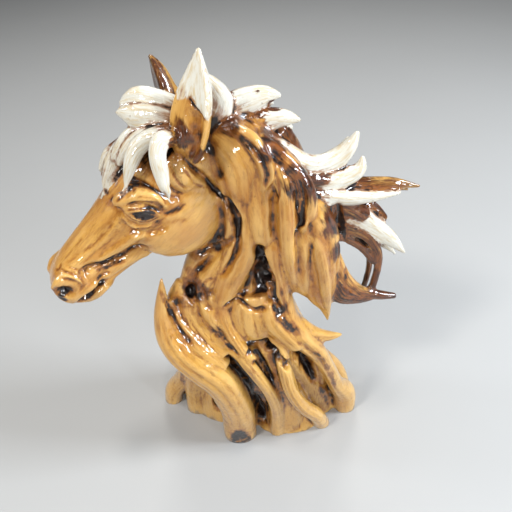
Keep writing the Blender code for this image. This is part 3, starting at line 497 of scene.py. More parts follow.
# Cuts on the near side: x, z points in mm, half width, depth
NEAR_CUTS = [
    ([(-20, 262), (-16, 268), (-14, 276), (-13, 286)], 5.5, 4.5),
    (THROAT_FOLD, 3.6, 3.6),
    ([(-8, 198), (-18, 186), (-26, 176)], 4, 2.5),
    ([(-31, 165), (-29, 158)], 6, 6),
    ([(-24, 170), (-22, 158), (-18, 150)], 3.5, 3),
    ([(13, 200), (12, 188)], 3.5, 5),
    ([(13, 192), (14, 174), (12, 160)], 6.5, 7.5),
    ([(13, 196), (8, 176), (2, 158)], 2.6, 3),
    ([(13, 196), (18, 178), (20, 160)], 3, 3.5),
    ([(17, 176), (20, 158), (24, 144)], 4, 4),
    ([(-12, 152), (-2, 157), (8, 150), (17, 152)], 2.6, 3),
    (CREST_EDGE, 3, 2.4),
    (SHOULDER_EDGE, 3, 2.6),
    ([(22, 240), (21, 220), (21, 205)], 3, 2.2),
    ([(35, 222), (34.5, 205), (35.5, 186), (38, 168)], 4, 2.4),
    ([(40, 226), (42, 204), (42, 180), (46, 154)], 3, 1.6),
    ([(58, 218), (60, 196), (60, 176), (60, 160)], 3.2, 3),
    (CAVE_BROW, 4.2, 4),
    ([(14, 112), (20, 108), (27, 102), (32, 96)], 5, 7),
    ([(37, 98), (38, 84), (42, 68), (48, 52), (51, 44)], 6.2, 7.5),
    (FRONT_SLOT, 3.4, 5.5),
    (MIDDLE_SLOT, 2.8, 4),
    (LOW_SLOT, 4.2, 6),
    (HORN_FOLD, 3, 2.8),
    ([(-18, 140), (-12, 126), (-4, 112)], 3, 2.6),
    (FOOT_SLOT, 5, 6),
    ([(-24, 142), (-17, 130), (-9, 116)], 3, 2),
    ([(36, 122), (48, 100), (56, 80)], 3, 2.2),
]

# Cuts on the far side: x, z points in mm, half width, depth
FAR_CUTS = [
    ([(7, 246), (11, 216), (6, 180), (-6, 148), (-12, 126)], 4, 4),
    ([(27, 244), (31, 216), (30, 186), (20, 156), (16, 134)], 4, 4),
    ([(-12, 110), (-26, 80), (-32, 50), (-38, 20)], 5, 5),
    ([(-2, 112), (-6, 80), (-6, 50), (-4, 20)], 5, 5),
    ([(18, 112), (24, 84), (30, 54), (44, 20)], 5, 5),
]


def smooth_rows(rows, steps=CURVE_STEPS):
    """A Catmull-Rom curve through rows of numbers."""
    rows = np.array(rows, float)
    padded = np.vstack([2 * rows[0] - rows[1], rows, 2 * rows[-1] - rows[-2]])
    t = (np.arange(steps) / steps)[:, None]
    pieces = []
    for before, a, b, after in zip(padded, padded[1:], padded[2:], padded[3:]):
        square = 2 * before - 5 * a + 4 * b - after
        cube = 3 * a - before - 3 * b + after
        pieces.append(0.5 * (2 * a + (b - before) * t + square * t**2 + cube * t**3))
    return np.vstack(pieces + [rows[-1:]])


def lengths(path):
    """How far along the path each of its points lies."""
    return np.concatenate([[0], np.linalg.norm(np.diff(path[:, :3], axis=0), axis=1).cumsum()])


def even_rows(path):
    """The same path with a row every STROKE_STEP."""
    reach = lengths(path)
    places = np.linspace(0, reach[-1], max(2, round(reach[-1] / STROKE_STEP) + 1))
    return np.column_stack([np.interp(places, reach, column) for column in path.T])


def squarer(values, power):
    """Cosines or sines of a circle turned into those of a superellipse."""
    return np.sign(values) * np.abs(values) ** (2 / power)


def oval(sides, power):
    """Corners of a superellipse of radius 1 as two columns."""
    angles = np.linspace(0, 2 * math.pi, sides, endpoint=False)
    return squarer(np.cos(angles), power), squarer(np.sin(angles), power)


def lock_frames(rows, face):
    """The lock's smooth rows, with its sideways and outward directions at each."""
    path = smooth_rows(rows)
    along = np.gradient(path[:, :3], axis=0)
    along /= np.linalg.norm(along, axis=1, keepdims=True)
    out = np.array(face) - along * (along @ np.array(face))[:, None]
    out /= np.linalg.norm(out, axis=1, keepdims=True)
    return path, np.cross(along, out), out


def every_lock():
    """Each lock as its group, its name, its rows and the way its broad side looks."""
    for name, rows in EARS.items():
        yield "ear", name, rows, EAR_FACES[name]
    tables = {"forelock": FORELOCK, "mane": MANE, "neck": NECK, "root": ROOTS}
    for group, table in tables.items():
        for name, rows in table.items():
            yield group, name, rows, NEAR_FACE
    for name, rows in NECK_BACK.items():
        yield "back", name, rows, FAR_FACE
    for name in FAR_LOCKS:
        rows = [(*np.add(row[:3], FAR_SHIFT), row[3] * FAR_SLIM, row[4] * FAR_SLIM) for row in MANE[name]]
        yield "far_mane", name, rows, FAR_FACE


def head_axes():
    """Rows: along the face, up through the forehead, and sideways to the far side."""
    turn, drop = math.radians(HEAD_TURN), math.radians(HEAD_DROP)
    ahead = np.array([-math.cos(turn), -math.sin(turn), 0.0])
    up = np.array([0.0, 0.0, 1.0])
    along = ahead * math.cos(drop) - up * math.sin(drop)
    dorsal = ahead * math.sin(drop) + up * math.cos(drop)
    return np.array([along, dorsal, np.cross(along, dorsal)])


def at_head(along, up, side):
    return np.array(POLL) + np.array([along, up, side]) @ head_axes()


class Clay:
    """Closed overlapping skins, gathered before they are fused into one body."""

    def __init__(self):
        self.points = []
        self.faces = []

    def skin(self, rings):
        """A closed skin through rings of equal size, each end closed to its own centre."""
        n, last = len(rings[0]), len(rings) - 1
        start = len(self.points)
        for ring in rings:
            self.points.extend(map(tuple, ring))
        self.points.append(tuple(np.mean(rings[0], 0)))
        self.points.append(tuple(np.mean(rings[-1], 0)))
        first, end = len(self.points) - 2, len(self.points) - 1
        for i in range(n):
            j = (i + 1) % n
            for r in range(last):
                a, b = start + r * n + i, start + r * n + j
                self.faces.append((a, b, b + n, a + n))
            self.faces.append((first, start + j, start + i))
            self.faces.append((end, start + last * n + i, start + last * n + j))

    def lock(self, rows, face, cup=0.0, power=2.2):
        """A lock, ridge or root whose broad side looks along face, hollowed by cup of its half thickness."""
        u, v = oval(LOCK_SIDES, power)
        v = v - cup * (1 - u**2)
        rings = []
        for row, wide, out in zip(*lock_frames(rows, face)):
            half, thick = np.maximum(row[3:5], LEAST_HALF)
            rings.append(row[:3] + np.outer(u * half, wide) + np.outer(v * thick, out))
        self.skin(rings)

    def trunk(self, rows, sides=28, power=2.4):
        """A skin through level ovals."""
        u, v = oval(sides, power)
        self.skin([
            np.column_stack([x + u * half_x, y + v * half_y, np.full(sides, z)])
            for z, x, y, half_x, half_y in smooth_rows(rows, SECTION_STEPS)
        ])

    def ball(self, centre, radii, axes, sides=16, rows=12):
        """An ellipsoid with its three radii along the rows of axes."""
        u, v = oval(sides, 2)
        rings = []
        for k in range(1, rows):
            latitude = math.pi * k / rows
            local = np.column_stack([
                radii[0] * math.sin(latitude) * u,
                radii[1] * math.sin(latitude) * v,
                np.full(sides, radii[2] * math.cos(latitude)),
            ])
            rings.append(centre + local @ axes)
        self.skin(rings)


def add_head(clay):
    axes = head_axes()
    up, side = oval(HEAD_SIDES, 2)
    rings = []
    for along, top, bottom, level, half, upper, lower in smooth_rows(HEAD_RINGS, SECTION_STEPS):
        power = np.where(up > 0, upper, lower)
        reach = np.where(up > 0, top - level, level - bottom)
        height = level + squarer(up, power) * reach
        width = squarer(side, power) * half
        rings.append([at_head(along, h, w) for h, w in zip(height, width)])
    clay.skin(rings)
    for along, height, out, *radii in HEAD_BULGES:
        for sign in (-1, 1):
            clay.ball(at_head(along, height, sign * out), radii, axes)
    for along, height, *radii in MIDDLE_BULGES:
        clay.ball(at_head(along, height, 0), radii, axes)
    for rows in HEAD_RIDGES.values():
        for sign in (-1, 1):
            placed = [(*at_head(along, up, sign * out), half, half) for along, up, out, half in rows]
            clay.lock(placed, face=sign * axes[2])


def add_forms(clay):
    add_head(clay)
    clay.trunk(TRUNK)
    for group, _, rows, face in every_lock():
        clay.lock(rows, face, CUPS.get(group, 0))


def modify(obj, kind, **settings):
    modifier = obj.modifiers.new(kind.lower(), kind)
    for name, value in settings.items():
        setattr(modifier, name, value)


def add_object(name, data):
    obj = bpy.data.objects.new(name, data)
    bpy.context.scene.collection.objects.link(obj)
    return obj


def bake(obj):
    """Applies the object's modifiers to its mesh."""
    graph = bpy.context.evaluated_depsgraph_get()
    mesh = bpy.data.meshes.new_from_object(obj.evaluated_get(graph))
    old = obj.data
    obj.modifiers.clear()
    obj.data = mesh
    bpy.data.meshes.remove(old)


def read(items, field, width, kind=float):
    """One field of all the mesh's vertices or edges, as rows of numbers."""
    values = np.empty(len(items) * width, kind)
    items.foreach_get(field, values)
    return values.reshape(-1, width)


def vertex_arrays(mesh):
    return read(mesh.vertices, "co", 3), read(mesh.vertices, "normal", 3)


class Chisel:
    """Cuts and raises strokes on a fused mesh, working in drawn millimetres."""

    def __init__(self, obj):
        self.mesh = obj.data
        points, self.normals = vertex_arrays(self.mesh)
        self.points = points / UNIT
        faces = [tuple(face.vertices) for face in self.mesh.polygons]
        self.tree = BVHTree.FromPolygons(self.points.tolist(), faces)
        self.moved = np.zeros_like(self.points)

    def on_surface(self, starts, direction):
        """Where rays from outside meet the surface, with the normals there. Misses are left out."""
        hits = []
        for start in starts:
            hit, normal, _, _ = self.tree.ray_cast(Vector(start), Vector(direction))
            if hit is not None:
                hits.append((*hit, *normal))
        return np.array(hits)

    def falloff(self, hits, width):
        """The points within width of the path of hits, the way out there, and 1 to 0 across it."""
        widest = width * (1 + SWELL)
        low, high = hits[:, :3].min(0) - widest, hits[:, :3].max(0) + widest
        near = np.flatnonzero(((self.points > low) & (self.points < high)).all(1))
        offsets = self.points[near, None] - hits[None, :, :3]
        reach = np.linalg.norm(offsets, axis=2)
        nearest = reach.argmin(1)
        swell = np.array([1 + SWELL * noise.noise(Vector(hit[:3]) / SWELL_LENGTH) for hit in hits])
        t = reach[np.arange(len(near)), nearest] / (width * swell[nearest])
        way = hits[nearest, 3:]
        facing = (self.normals[near] * way).sum(1) > FACING
        fall = np.where(facing & (t < 1), (1 - np.minimum(t, 1) ** 2) ** 2, 0.0)
        ends = np.minimum(nearest + 1, len(hits) - nearest) / max(1, len(hits) * END_TAPER)
        return near, way, fall * np.minimum(1.0, ends)

    def stroke(self, hits, width, depth):
        """Pushes the surface in by depth along the path of hits, and by nothing at width from it."""
        if len(hits):
            near, way, fall = self.falloff(hits, width)
            self.moved[near] -= way * (fall * depth)[:, None]
            self.lay(near, fall)

    def lay(self, near, fall):
        """What a stroke leaves on the surface besides its shape: nothing here."""

    def on_head(self, points, width, depth):
        """A stroke through points given along and up the face, on both of its sides."""
        path = even_rows(smooth_rows(points))
        for side in (-1, 1):
            starts = [at_head(along, up, side * FAR_OUT) for along, up in path]
            self.stroke(self.on_surface(starts, -side * head_axes()[2]), width, depth)

    def on_body(self, points, width, depth, side=-1):
        """A stroke through x, z points on the near side, or on the far side with side = 1."""
        starts = [(x, side * FAR_OUT, z) for x, z in even_rows(smooth_rows(points))]
        self.stroke(self.on_surface(starts, (0, -side, 0)), width, depth)

    def finish(self):
        self.mesh.vertices.foreach_set("co", ((self.points + self.moved) * UNIT).ravel())
        self.mesh.update()


def carve(chisel):
    for points, width, depth in HEAD_CUTS:
        chisel.on_head(points, width, depth)
    for points, width, depth in NEAR_CUTS:
        chisel.on_body(points, width, depth)
    for points, width, depth in FAR_CUTS:
        chisel.on_body(points, width, depth, side=1)


def cut_flat(obj):
    """Cuts the underside flat on z = 0."""
    shape = bmesh.new()
    shape.from_mesh(obj.data)
    everything = shape.verts[:] + shape.edges[:] + shape.faces[:]
    level = {"plane_co": (0, 0, 0), "plane_no": (0, 0, 1)}
    cut = bmesh.ops.bisect_plane(shape, geom=everything, clear_inner=True, **level)
    rim = [item for item in cut["geom_cut"] if isinstance(item, bmesh.types.BMEdge)]
    bmesh.ops.holes_fill(shape, edges=rim, sides=0)
    bmesh.ops.triangulate(shape, faces=shape.faces[:])
    shape.to_mesh(obj.data)
    shape.free()


EYE = (45.5, 0.8)
EYE_INNER = (0.55, 0.835)
EYE_UP = (-0.835, 0.55)

# Fine strokes around each eye, in mm towards its inner corner and up from its middle, each with its half
# width, depth and stain
EYE_STROKES = [
    ([(-6.5, -0.6), (-3, 0.8), (1, 0.8), (6, 0)], 2.8, 0.6, 2),
    ([(-6, -1), (0, -1.4), (5.5, -0.8)], 2.6, 0.4, 2),
    ([(-10, -1), (-6, 2.6), (0, 4), (5, 3.4), (10, 0.5)], 1.3, 0.7, 0.9),
    ([(-9, -1.5), (-5, -4.2), (0, -4.8), (5, -3.4), (10, 0.5)], 1.3, 0.7, 0.9),
    ([(-11, 0), (-6, 6.4), (0, 7.6), (5, 6.8), (9, 4)], 1.7, 0.9, 1),
    ([(-9, 3.5), (-4, 9.4), (2, 10.6), (7, 9)], 1.3, 0.5, 0.5),
    ([(-12, 5), (-7, 11.5), (1, 14), (7, 12), (12, 7), (14, 2)], 1.8, 0.9, 1),
    ([(-12, -2), (-7, -8.5), (0, -10.2), (7, -8), (11, -3)], 2, 0.8, 0.8),
    ([(-7, -13.5), (-1, -14.5), (5, -13)], 2.6, 0.3, 0.4),
    ([(-10, -1), (-14, 0.5), (-18, 3), (-22, 6)], 2.2, 0.9, 1),
    ([(10, 0.5), (13, 0.5), (17, -1)], 2.4, 0.7, 1),
]

# Fine strokes on both sides of the face, in mm along and up: half width, depth, stain
FACE_STROKES = [
    ([(113.5, 3), (111, 1), (108.5, -1)], 6.2, 0, 2),
    ([(117, -1), (116.5, -4)], 3, 0.3, 1.4),
    ([(104, 8), (101.5, 4), (101, -1), (103, -5)], 1.4, 0.7, 0.8),
    ([(101, 9), (98, 4), (97.5, -2)], 1.4, 0.6, 0.7),
    ([(107, 10), (103, 9), (99, 9.5)], 1.3, 0.5, 0.6),
    ([(97, 8), (95, 3), (94.5, -2)], 1.3, 0.4, 0.5),
    ([(116, -12), (108, -13.2), (99, -14.8), (94, -14.5)], 4, 0.6, 2),
    ([(106, -5.5), (100, -4), (96, 1), (90, -1)], 1.6, 0.8, 0.9),
    ([(92, -2), (86, -6), (80, -9), (74, -12), (67, -14), (62, -18)], 2.2, 0.9, 1.2),
    ([(92, -6), (87, -9), (82, -11), (77, -14)], 2.6, 0.5, 1.2),
    ([(97, -10), (92, -10), (87, -13)], 1.6, 0.5, 0.9),
    ([(96, -17), (88, -18), (78, -22), (69, -26), (63, -31)], 1.8, 0.8, 1.1),
    ([(88, -3), (80, -7), (72, -9)], 1.4, 0.5, 0.5),
    ([(98, 9), (88, 7), (76, 5.5), (62, 6), (53, 9)], 1.6, 0.4, 0.55),
    ([(94, 4), (82, 2), (70, 1), (60, 3)], 1.6, 0.3, 0.45),
    ([(100, 10), (90, 10), (78, 10), (66, 10)], 1.5, 0.3, 0.4),
    ([(56, 12), (52, 10.5), (50, 12)], 3, 0.3, 0.7),
    ([(58, 8), (66, 6), (74, 7)], 2.5, 0.2, 0.4),
    ([(26, 9), (29, 3), (31, -3), (29, -9)], 1.4, 0.7, 0.8),
    ([(22, 8), (25, 2), (27, -5), (25, -12)], 1.4, 0.7, 0.7),
    ([(17, 7), (21, 0), (22, -7), (20, -13)], 1.4, 0.6, 0.6),
    ([(14, 2), (16, -5), (18, -12), (16, -20)], 1.5, 0.6, 0.6),
    ([(10, 8), (12, -6), (13, -16), (15, -24), (16, -31), (19, -40)], 1.7, 0.6, 1.1),
    ([(44, -13), (38, -17), (36, -21)], 2.4, 0.2, 0.5),
    (JAW_LINE, 3.2, 0.3, 0.8),
]

# Stained lines and dark patches on the near side, many of them painted shade in holes, slots, the cave and
# other hollows: x, z points in mm, half width, depth, stain and painted shade
NEAR_STAINS_AND_SHADE = [
    (THROAT_FOLD, 1.8, 0.6, 1.1),
    ([(-7, 232), (-4, 224), (-3, 214)], 2, 0, 0.7),
    ([(-30, 186), (-20, 192), (-10, 200), (-7, 206)], 5, 0, 0.9),
    ([(-36, 166), (-26, 178), (-18, 186)], 3, 0.5, 0.7),
    # Painted shade in the hole between the horn and the throat
    ([(-34, 160), (-29, 162), (-24, 160)], 6.5, 0, 1.6),
    ([(-44, 152), (-38, 156), (-30, 156)], 5.5, 0, 1),
    ([(-24, 168), (-20, 174), (-15, 176)], 2.4, 0.4, 1.2),
    # Painted shade in the deep groove below the lobe
    ([(14, 198), (16, 184), (14, 168), (9, 158)], 7, 0, 1.5),
    ([(14, 186), (8, 172), (2, 160), (-4, 152)], 2.4, 0.3, 0.9),
    # Painted shade: a broad dark strip between the plate and the right root
    ([(17, 182), (20, 164), (23, 146), (30, 134), (40, 122)], 5, 0.3, 1.1),
    ([(24, 170), (27, 152), (31, 138)], 2, 0.4, 0.9),
    ([(-12, 152), (-3, 157), (6, 151), (14, 152)], 2.4, 0.5, 0.9),
    (CREST_EDGE, 2, 0.5, 1.2),
    ([(28, 250), (33, 238), (33, 224)], 1.8, 0.5, 0.8),
    (SHOULDER_EDGE, 2, 0.5, 1.2),
    ([(4, 268), (12, 262), (20, 255)], 4, 0.4, 1.3),
    ([(20, 262), (28, 252), (34, 242)], 4.5, 0.4, 1.1),
    ([(22, 252), (24, 240), (23, 228)], 1.6, 0.5, 0.7),
    ([(35, 200), (36, 184)], 5.5, 0, 0.4),
    ([(56, 222), (61, 206), (64, 188), (66, 168), (66, 152)], 2.4, 0.5, 1.2),
    ([(42, 176), (46, 160), (52, 146)], 3, 0, 0.5),
    # Painted shade in the cave, along its brow and edges, and in the slots between the roots
    (CAVE_BROW, 5, 0, 2),
    ([(14, 112), (20, 108), (27, 102), (33, 95)], 5.6, 0, 2),
    ([(37, 99), (38, 84), (42, 68), (48, 52), (52, 42)], 6.2, 0, 1.8),
    ([(55, 36), (60, 22), (64, 8)], 2.4, 0.3, 1),
    (FRONT_SLOT, 3, 0, 1.7),
    (MIDDLE_SLOT, 2.8, 0, 1.7),
    ([(20, 100), (21, 90), (23, 80)], 3.6, 0.2, 0.6),
    (LOW_SLOT, 4.6, 0, 1.7),
    (HORN_FOLD, 1.8, 0.4, 1.1),
    ([(-3, 295), (1, 291)], 4, 0.5, 1.5),
    ([(-15, 289), (-13, 286), (-9, 281)], 1, 0.7, 1.3),
    ([(-15, 276), (-13, 270)], 4.5, 0.5, 0.9),
    ([(-48, 172), (-46, 160), (-43, 150)], 2.4, 0, 0.8),
    ([(-18, 142), (-12, 127), (-4, 113)], 1.8, 0.4, 1),
    ([(-24, 144), (-17, 131), (-9, 117)], 1.6, 0.4, 0.7),
    # Painted shade in the foot's slot
    (FOOT_SLOT, 5, 0, 1.2),
    ([(-46, 70), (-52, 56), (-54, 40)], 4, 0, 1),
    ([(44, 114), (54, 92), (62, 66), (66, 44)], 3, 0, 0.9),
    ([(-18, 12), (-10, 10), (-2, 12)], 20, 0, 1.6),
    ([(-40, 180), (-30, 178), (-22, 170)], 5, 0, 0.8),
]

# The lines that run along a lock's broad faces: how many, how deep in mm, and how stained
STRANDS = {
    "ear": (2, 0.2, 0.1),
    "forelock": (2, 0.35, 0.15),
    "mane": (4, 0.6, 0.4),
    "far_mane": (3, 0.6, 0.4),
    "neck": (3, 0.35, 0.18),
    "back": (5, 0.8, 0.5),
    "root": (3, 0.45, 0.2),
}

# Where each cream lock's paint starts and is full, as shares of its length
CREAM = {
    "forelock": {
        "upper": (0.1, 0.25), "lower": (0.1, 0.25), "outer": (0.15, 0.3), "outer_two": (0.15, 0.3),
        "middle": (0.12, 0.3), "near": (0.08, 0.2), "far": (0.1, 0.3), "tiny": (0.3, 0.55),
        "away": (0.15, 0.4),
    },
    "mane": {
        "poll_fan": (0.2, 0.4), "first": (0.22, 0.4), "second": (0.3, 0.5), "long": (0.12, 0.26),
        "under": (0.3, 0.45), "streamer_low": (0.2, 0.34), "blade": (0.38, 0.55),
    },
    "far_mane": {"first": (0.25, 0.45), "second": (0.3, 0.5), "long": (0.3, 0.5), "blade": (0.45, 0.65)},
    "ear": {"near": (0.58, 0.66)},
}

# How deep a walnut stain each dark lock holds at its root and at its tip
WALNUT = {
    "ear": {"near": (0.3, 0.1), "far": (1.1, 0.7)},
    "forelock": {
        **dict.fromkeys(("upper", "lower"), (1, 0.9)),
        **dict.fromkeys(("outer", "outer_two"), (0.9, 0.9)),
        **dict.fromkeys(("middle", "near", "far", "tiny", "away"), (0.8, 0.9)),
    },
    "mane": {
        "poll_fan": (1.1, 0.9), "first": (1.1, 0.9), "second": (1.05, 0.9), "long": (1.05, 0.9),
        "under": (1, 0.9), "streamer": (0.9, 0.65), "streamer_low": (0.95, 0.9), "blade": (0.9, 0.9),
        "spur": (0.95, 0.9), "curl": (0.55, 1), "curl_inner": (0.7, 1), "loop": (-0.5, 1.4),
        "scoop": (0.85, 1.1),
    },
    "neck": {"crest_back": (0.8, 0.6), "curled": (0.45, 0.15)},
    "back": {"sweep_one": (0.9, 0.1), "sweep_two": (1, 0.1), "sweep_three": (1.1, 0.3)},
    "far_mane": {
        "first": (0.95, 0.9), "second": (0.95, 0.9), "long": (0.9, 0.9), "streamer": (0.8, 0.6),
        "blade": (0.85, 0.9), "curl": (0.6, 0.9), "scoop": (0.8, 0.9),
    },
}

# Where the near side's walnut runs in soft patches beyond those locks: x, z centre in mm, and the two radii
WALNUT_PATCHES = [
    ((40, 240), 17, 16), ((56, 212), 12, 14), ((60, 190), 8, 12), ((24, 261), 13, 8),
    ((-20, 272), 6, 10), ((-14, 262), 7, 7), ((-27, 166), 10, 12), ((12, 176), 8, 16),
    ((-28, 270), 4, 13), ((0, 272), 8, 8),
]


class Engraver(Chisel):
    """A chisel that also lays stain along its strokes, and painted shade where they fill holes and slots."""

    def __init__(self, obj):
        super().__init__(obj)
        self.stain_and_shade = np.zeros(len(self.points))
        self.laid = 0.0

    def lay(self, near, fall):
        """Stain and painted shade as strong as laid in the middle of the stroke, paler towards its edges."""
        self.stain_and_shade[near] = np.maximum(self.stain_and_shade[near], np.minimum(fall * STAIN_SPREAD, 1) * self.laid)


def eye_points(points):
    return [
        (EYE[0] + x * EYE_INNER[0] + y * EYE_UP[0], EYE[1] + x * EYE_INNER[1] + y * EYE_UP[1])
        for x, y in points
    ]


def cut_strands(chisel, dice):
    """Lines that run along both broad faces of each lock."""
    for group, name, rows, face in every_lock():
        count, depth, chisel.laid = STRANDS[group]
        if name in CREAM.get(group, ()):
            depth *= SMOOTH_CREAM
            chisel.laid *= SMOOTH_CREAM
        path, wide, out = lock_frames(rows, face)
        for side in (-1, 1):
            for k in range(count):
                across = STRAND_SPREAD * (2 * (k + dice.uniform(0.25, 0.75)) / count - 1)
                lift = side * math.sqrt(1 - across**2) - CUPS.get(group, 0) * (1 - across**2)
                hits = np.hstack([
                    path[:, :3] + wide * across * path[:, 3:4] + out * lift * path[:, 4:5],
                    wide * across + out * lift,
                ])
                start = dice.integers(0, len(path) // 4)
                stop = len(path) - dice.integers(0, len(path) // 5)
                width = float(np.clip(path[:, 3].max() * STRAND_SHARE, *STRAND_WIDTHS))
                chisel.stroke(even_rows(hits[start:stop]), width, depth * dice.uniform(0.5, 1.2))


def engrave(obj):
    """The fine strokes; returns where each point goes and how much stain and painted shade it holds."""
    chisel = Engraver(obj)
    for points, width, depth, chisel.laid in EYE_STROKES:
        chisel.on_head(eye_points(points), width, depth)
    for points, width, depth, chisel.laid in FACE_STROKES:
        chisel.on_head(points, width, depth)
    for points, width, depth, chisel.laid in NEAR_STAINS_AND_SHADE:
        chisel.on_body(points, width, depth)
    for points, width, depth in FAR_CUTS:
        chisel.laid = FAR_STAIN
        chisel.on_body(points, width, FAR_DEPTH, side=1)
    cut_strands(chisel, np.random.default_rng(STRAND_SEED))
    chisel.finish()
    return chisel.points + chisel.moved, chisel.stain_and_shade


def neighbour_mean(values, edges, rounds):
    """Each point's values averaged with its neighbours', round after round."""
    a, b = edges.T
    count = len(values)
    degree = np.bincount(a, minlength=count) + np.bincount(b, minlength=count)
    for _ in range(rounds):
        sums = [np.bincount(a, row[b], count) + np.bincount(b, row[a], count) for row in values.T]
        values = 0.5 * values + 0.5 * np.stack(sums, 1) / np.maximum(degree, 1)[:, None]
    return values


def shut_in(points, normals, faces):
    """How much of the open air around each point other parts of the skin take away, from 0 to 1: where shade
    is painted.
    """
    turns = np.arange(AIR_RAYS)
    rise = 1 - (2 * turns + 1) / AIR_RAYS
    flat = np.sqrt(1 - rise**2)
    angle = turns * math.pi * (3 - math.sqrt(5))
    ways = np.column_stack([flat * np.cos(angle), flat * np.sin(angle), rise])
    tree = BVHTree.FromPolygons(points.tolist(), faces)
    shut = np.zeros(len(points))
    starts = points + normals * AIR_START
    for i, sides in enumerate(np.where(normals @ ways.T > 0, 1.0, -1.0)):
        start = starts[i].tolist()
        rays = (ways * sides[:, None]).tolist()
        shut[i] = sum(tree.ray_cast(start, ray, AIR_REACH)[0] is not None for ray in rays)
    return shut / AIR_RAYS


def smoothstep(low, high, x):
    t = np.clip((x - low) / (high - low), 0, 1)
    return t * t * (3 - 2 * t)


def rising(amount, low, high, x):
    """From nothing where x is low to amount where it is high."""
    return amount * smoothstep(low, high, x)


class Locks:
    """Which lock each point belongs to, where it lies on it, and how near it is to the next lock."""

    def __init__(self, points):
        count = len(points)
        self.names = [lock[:2] for lock in every_lock()]
        self.number = np.full(count, -1)
        self.share = np.zeros(count)
        self.across = np.zeros(count)
        self.run = np.zeros(count)
        self.off = np.full(count, FAR_OFF)
        self.next_off = np.full(count, FAR_OFF)
        for number, (_, _, rows, face) in enumerate(every_lock()):
            self.claim(points, number, *lock_frames(rows, face))

    def claim(self, points, number, path, wide, out):
        reach = path[:, 3:5].max() * CLAIM_SHARE + CLAIM_ROOM
        low, high = path[:, :3].min(0) - reach, path[:, :3].max(0) + reach
        near = np.flatnonzero(((points > low) & (points < high)).all(1))
        if not len(near):
            return
        offsets = points[near, None] - path[None, :, :3]
        nearest = (offsets**2).sum(2).argmin(1)
        offset = offsets[np.arange(len(near)), nearest]
        across = (offset * wide[nearest]).sum(1) / np.maximum(path[nearest, 3], LEAST_HALF)
        lift = (offset * out[nearest]).sum(1) / np.maximum(path[nearest, 4], LEAST_HALF)
        size = np.sqrt(path[nearest, 3] * path[nearest, 4])
        off = (np.hypot(across, lift) - 1) * size
        better = off < self.off[near]
        self.next_off[near] = np.where(better, self.off[near], np.minimum(self.next_off[near], off))
        chosen = near[better]
        self.off[chosen] = off[better]
        self.number[chosen] = number
        self.share[chosen] = nearest[better] / (len(path) - 1)
        self.across[chosen] = across[better]
        self.run[chosen] = lengths(path)[nearest[better]]


def paint(points, normals, mesh, laid):
    """The paint's amounts at each point: cream, walnut, stain with painted shade, paler crests of wear and
    painted highlight, and the grain's coordinates.
    """
    edges = read(mesh.edges, "vertices", 2, np.int32)
    locks = Locks(points)
    wobble = np.array([noise.noise(Vector(p) * WOBBLE_SCALE) for p in points])
    cream, walnut, outline = np.zeros((3, len(points)))
    on_lock = locks.off < LOCK_REACH
    for number, (group, name) in enumerate(locks.names):
        mine = on_lock & (locks.number == number)
        share = locks.share[mine] + WOBBLE_SHARE * wobble[mine] + SLANT * locks.across[mine]
        if name in CREAM.get(group, ()):
            cream[mine] = smoothstep(*CREAM[group][name], share)
            outline[mine] = smoothstep(*OUTLINE_EDGE, np.abs(locks.across[mine])) * cream[mine]
        if name in WALNUT.get(group, ()):
            walnut[mine] = np.interp(share, (0, 1), WALNUT[group][name])
    near_side = points[:, 1] < NEAR_SIDE
    for (x, z), wide_x, wide_z in WALNUT_PATCHES:
        off = np.hypot((points[:, 0] - x) / wide_x, (points[:, 2] - z) / wide_z)
        patch = PATCH_WALNUT[0] - rising(*PATCH_WALNUT, off + 0.3 * wobble)
        walnut = np.where(near_side, np.maximum(walnut, patch), walnut)
    # Painted shade in the seams where one lock meets the next
    seam = 1 - smoothstep(*SEAM_EDGE, locks.next_off - locks.off)
    seam *= on_lock & (locks.next_off < LOCK_REACH)
    rough = neighbour_mean(points, edges, FINE_ROUNDS)
    broad = neighbour_mean(rough, edges, BROAD_ROUNDS)
    fine_hollow, hollow = (((mean - points) * normals).sum(1) for mean in (rough, broad))
    shut = shut_in(points, normals, [tuple(face.vertices) for face in mesh.polygons])
    shut = neighbour_mean(shut[:, None], edges, AIR_ROUNDS)[:, 0]
    # Painted shade in hollows and in places other parts shut in, less on the ears and where strokes already
    # lay stain
    painted_shade = rising(*HOLLOW_SHADE, hollow) + rising(*FINE_HOLLOW_SHADE, fine_hollow)
    painted_shade += rising(*SHUT_IN_SHADE, shut) + rising(*DEEP_SHUT_IN_SHADE, shut)
    ears = on_lock & np.isin(locks.number, [i for i, (group, _) in enumerate(locks.names) if group == "ear"])
    painted_shade *= np.where(ears, EAR_SHADE_SHARE, 1.0) * (1 - 0.6 * np.minimum(laid, 1))
    # Stain from the strokes, painted shade in hollows and seams, the cream locks' painted outlines and their
    # blend into the wood
    stain_and_shade = laid + painted_shade + (SEAM_SHADE + CREAM_SEAM_SHADE * cream) * seam
    stain_and_shade = stain_and_shade + OUTLINE_STAIN * outline + 2.0 * cream * (1 - cream)
    # Paler on crests: partly wear, partly painted highlight
    wear_and_highlight = smoothstep(*WEAR_AND_HIGHLIGHT_EDGES, -hollow)
    grain = points * GRAIN_BODY
    local = (points - np.array(POLL)) @ head_axes().T
    low, high = FACE_LEVELS
    head = (local[:, 0] > FACE_START) & (local[:, 1] > low) & (local[:, 1] < high) & (locks.off > 1)
    grain[head] = local[head] * GRAIN_HEAD
    strip = on_lock & ~head
    grain[strip] = np.column_stack([
        locks.run[strip] * GRAIN_LOCK[0],
        locks.across[strip] * GRAIN_LOCK[1] + locks.number[strip] * GRAIN_LOCK[2],
        locks.off[strip],
    ])
    return {"cream": cream, "walnut": walnut, "stain_and_shade": np.clip(stain_and_shade, 0, 2), "wear_and_highlight": wear_and_highlight, "grain": grain}


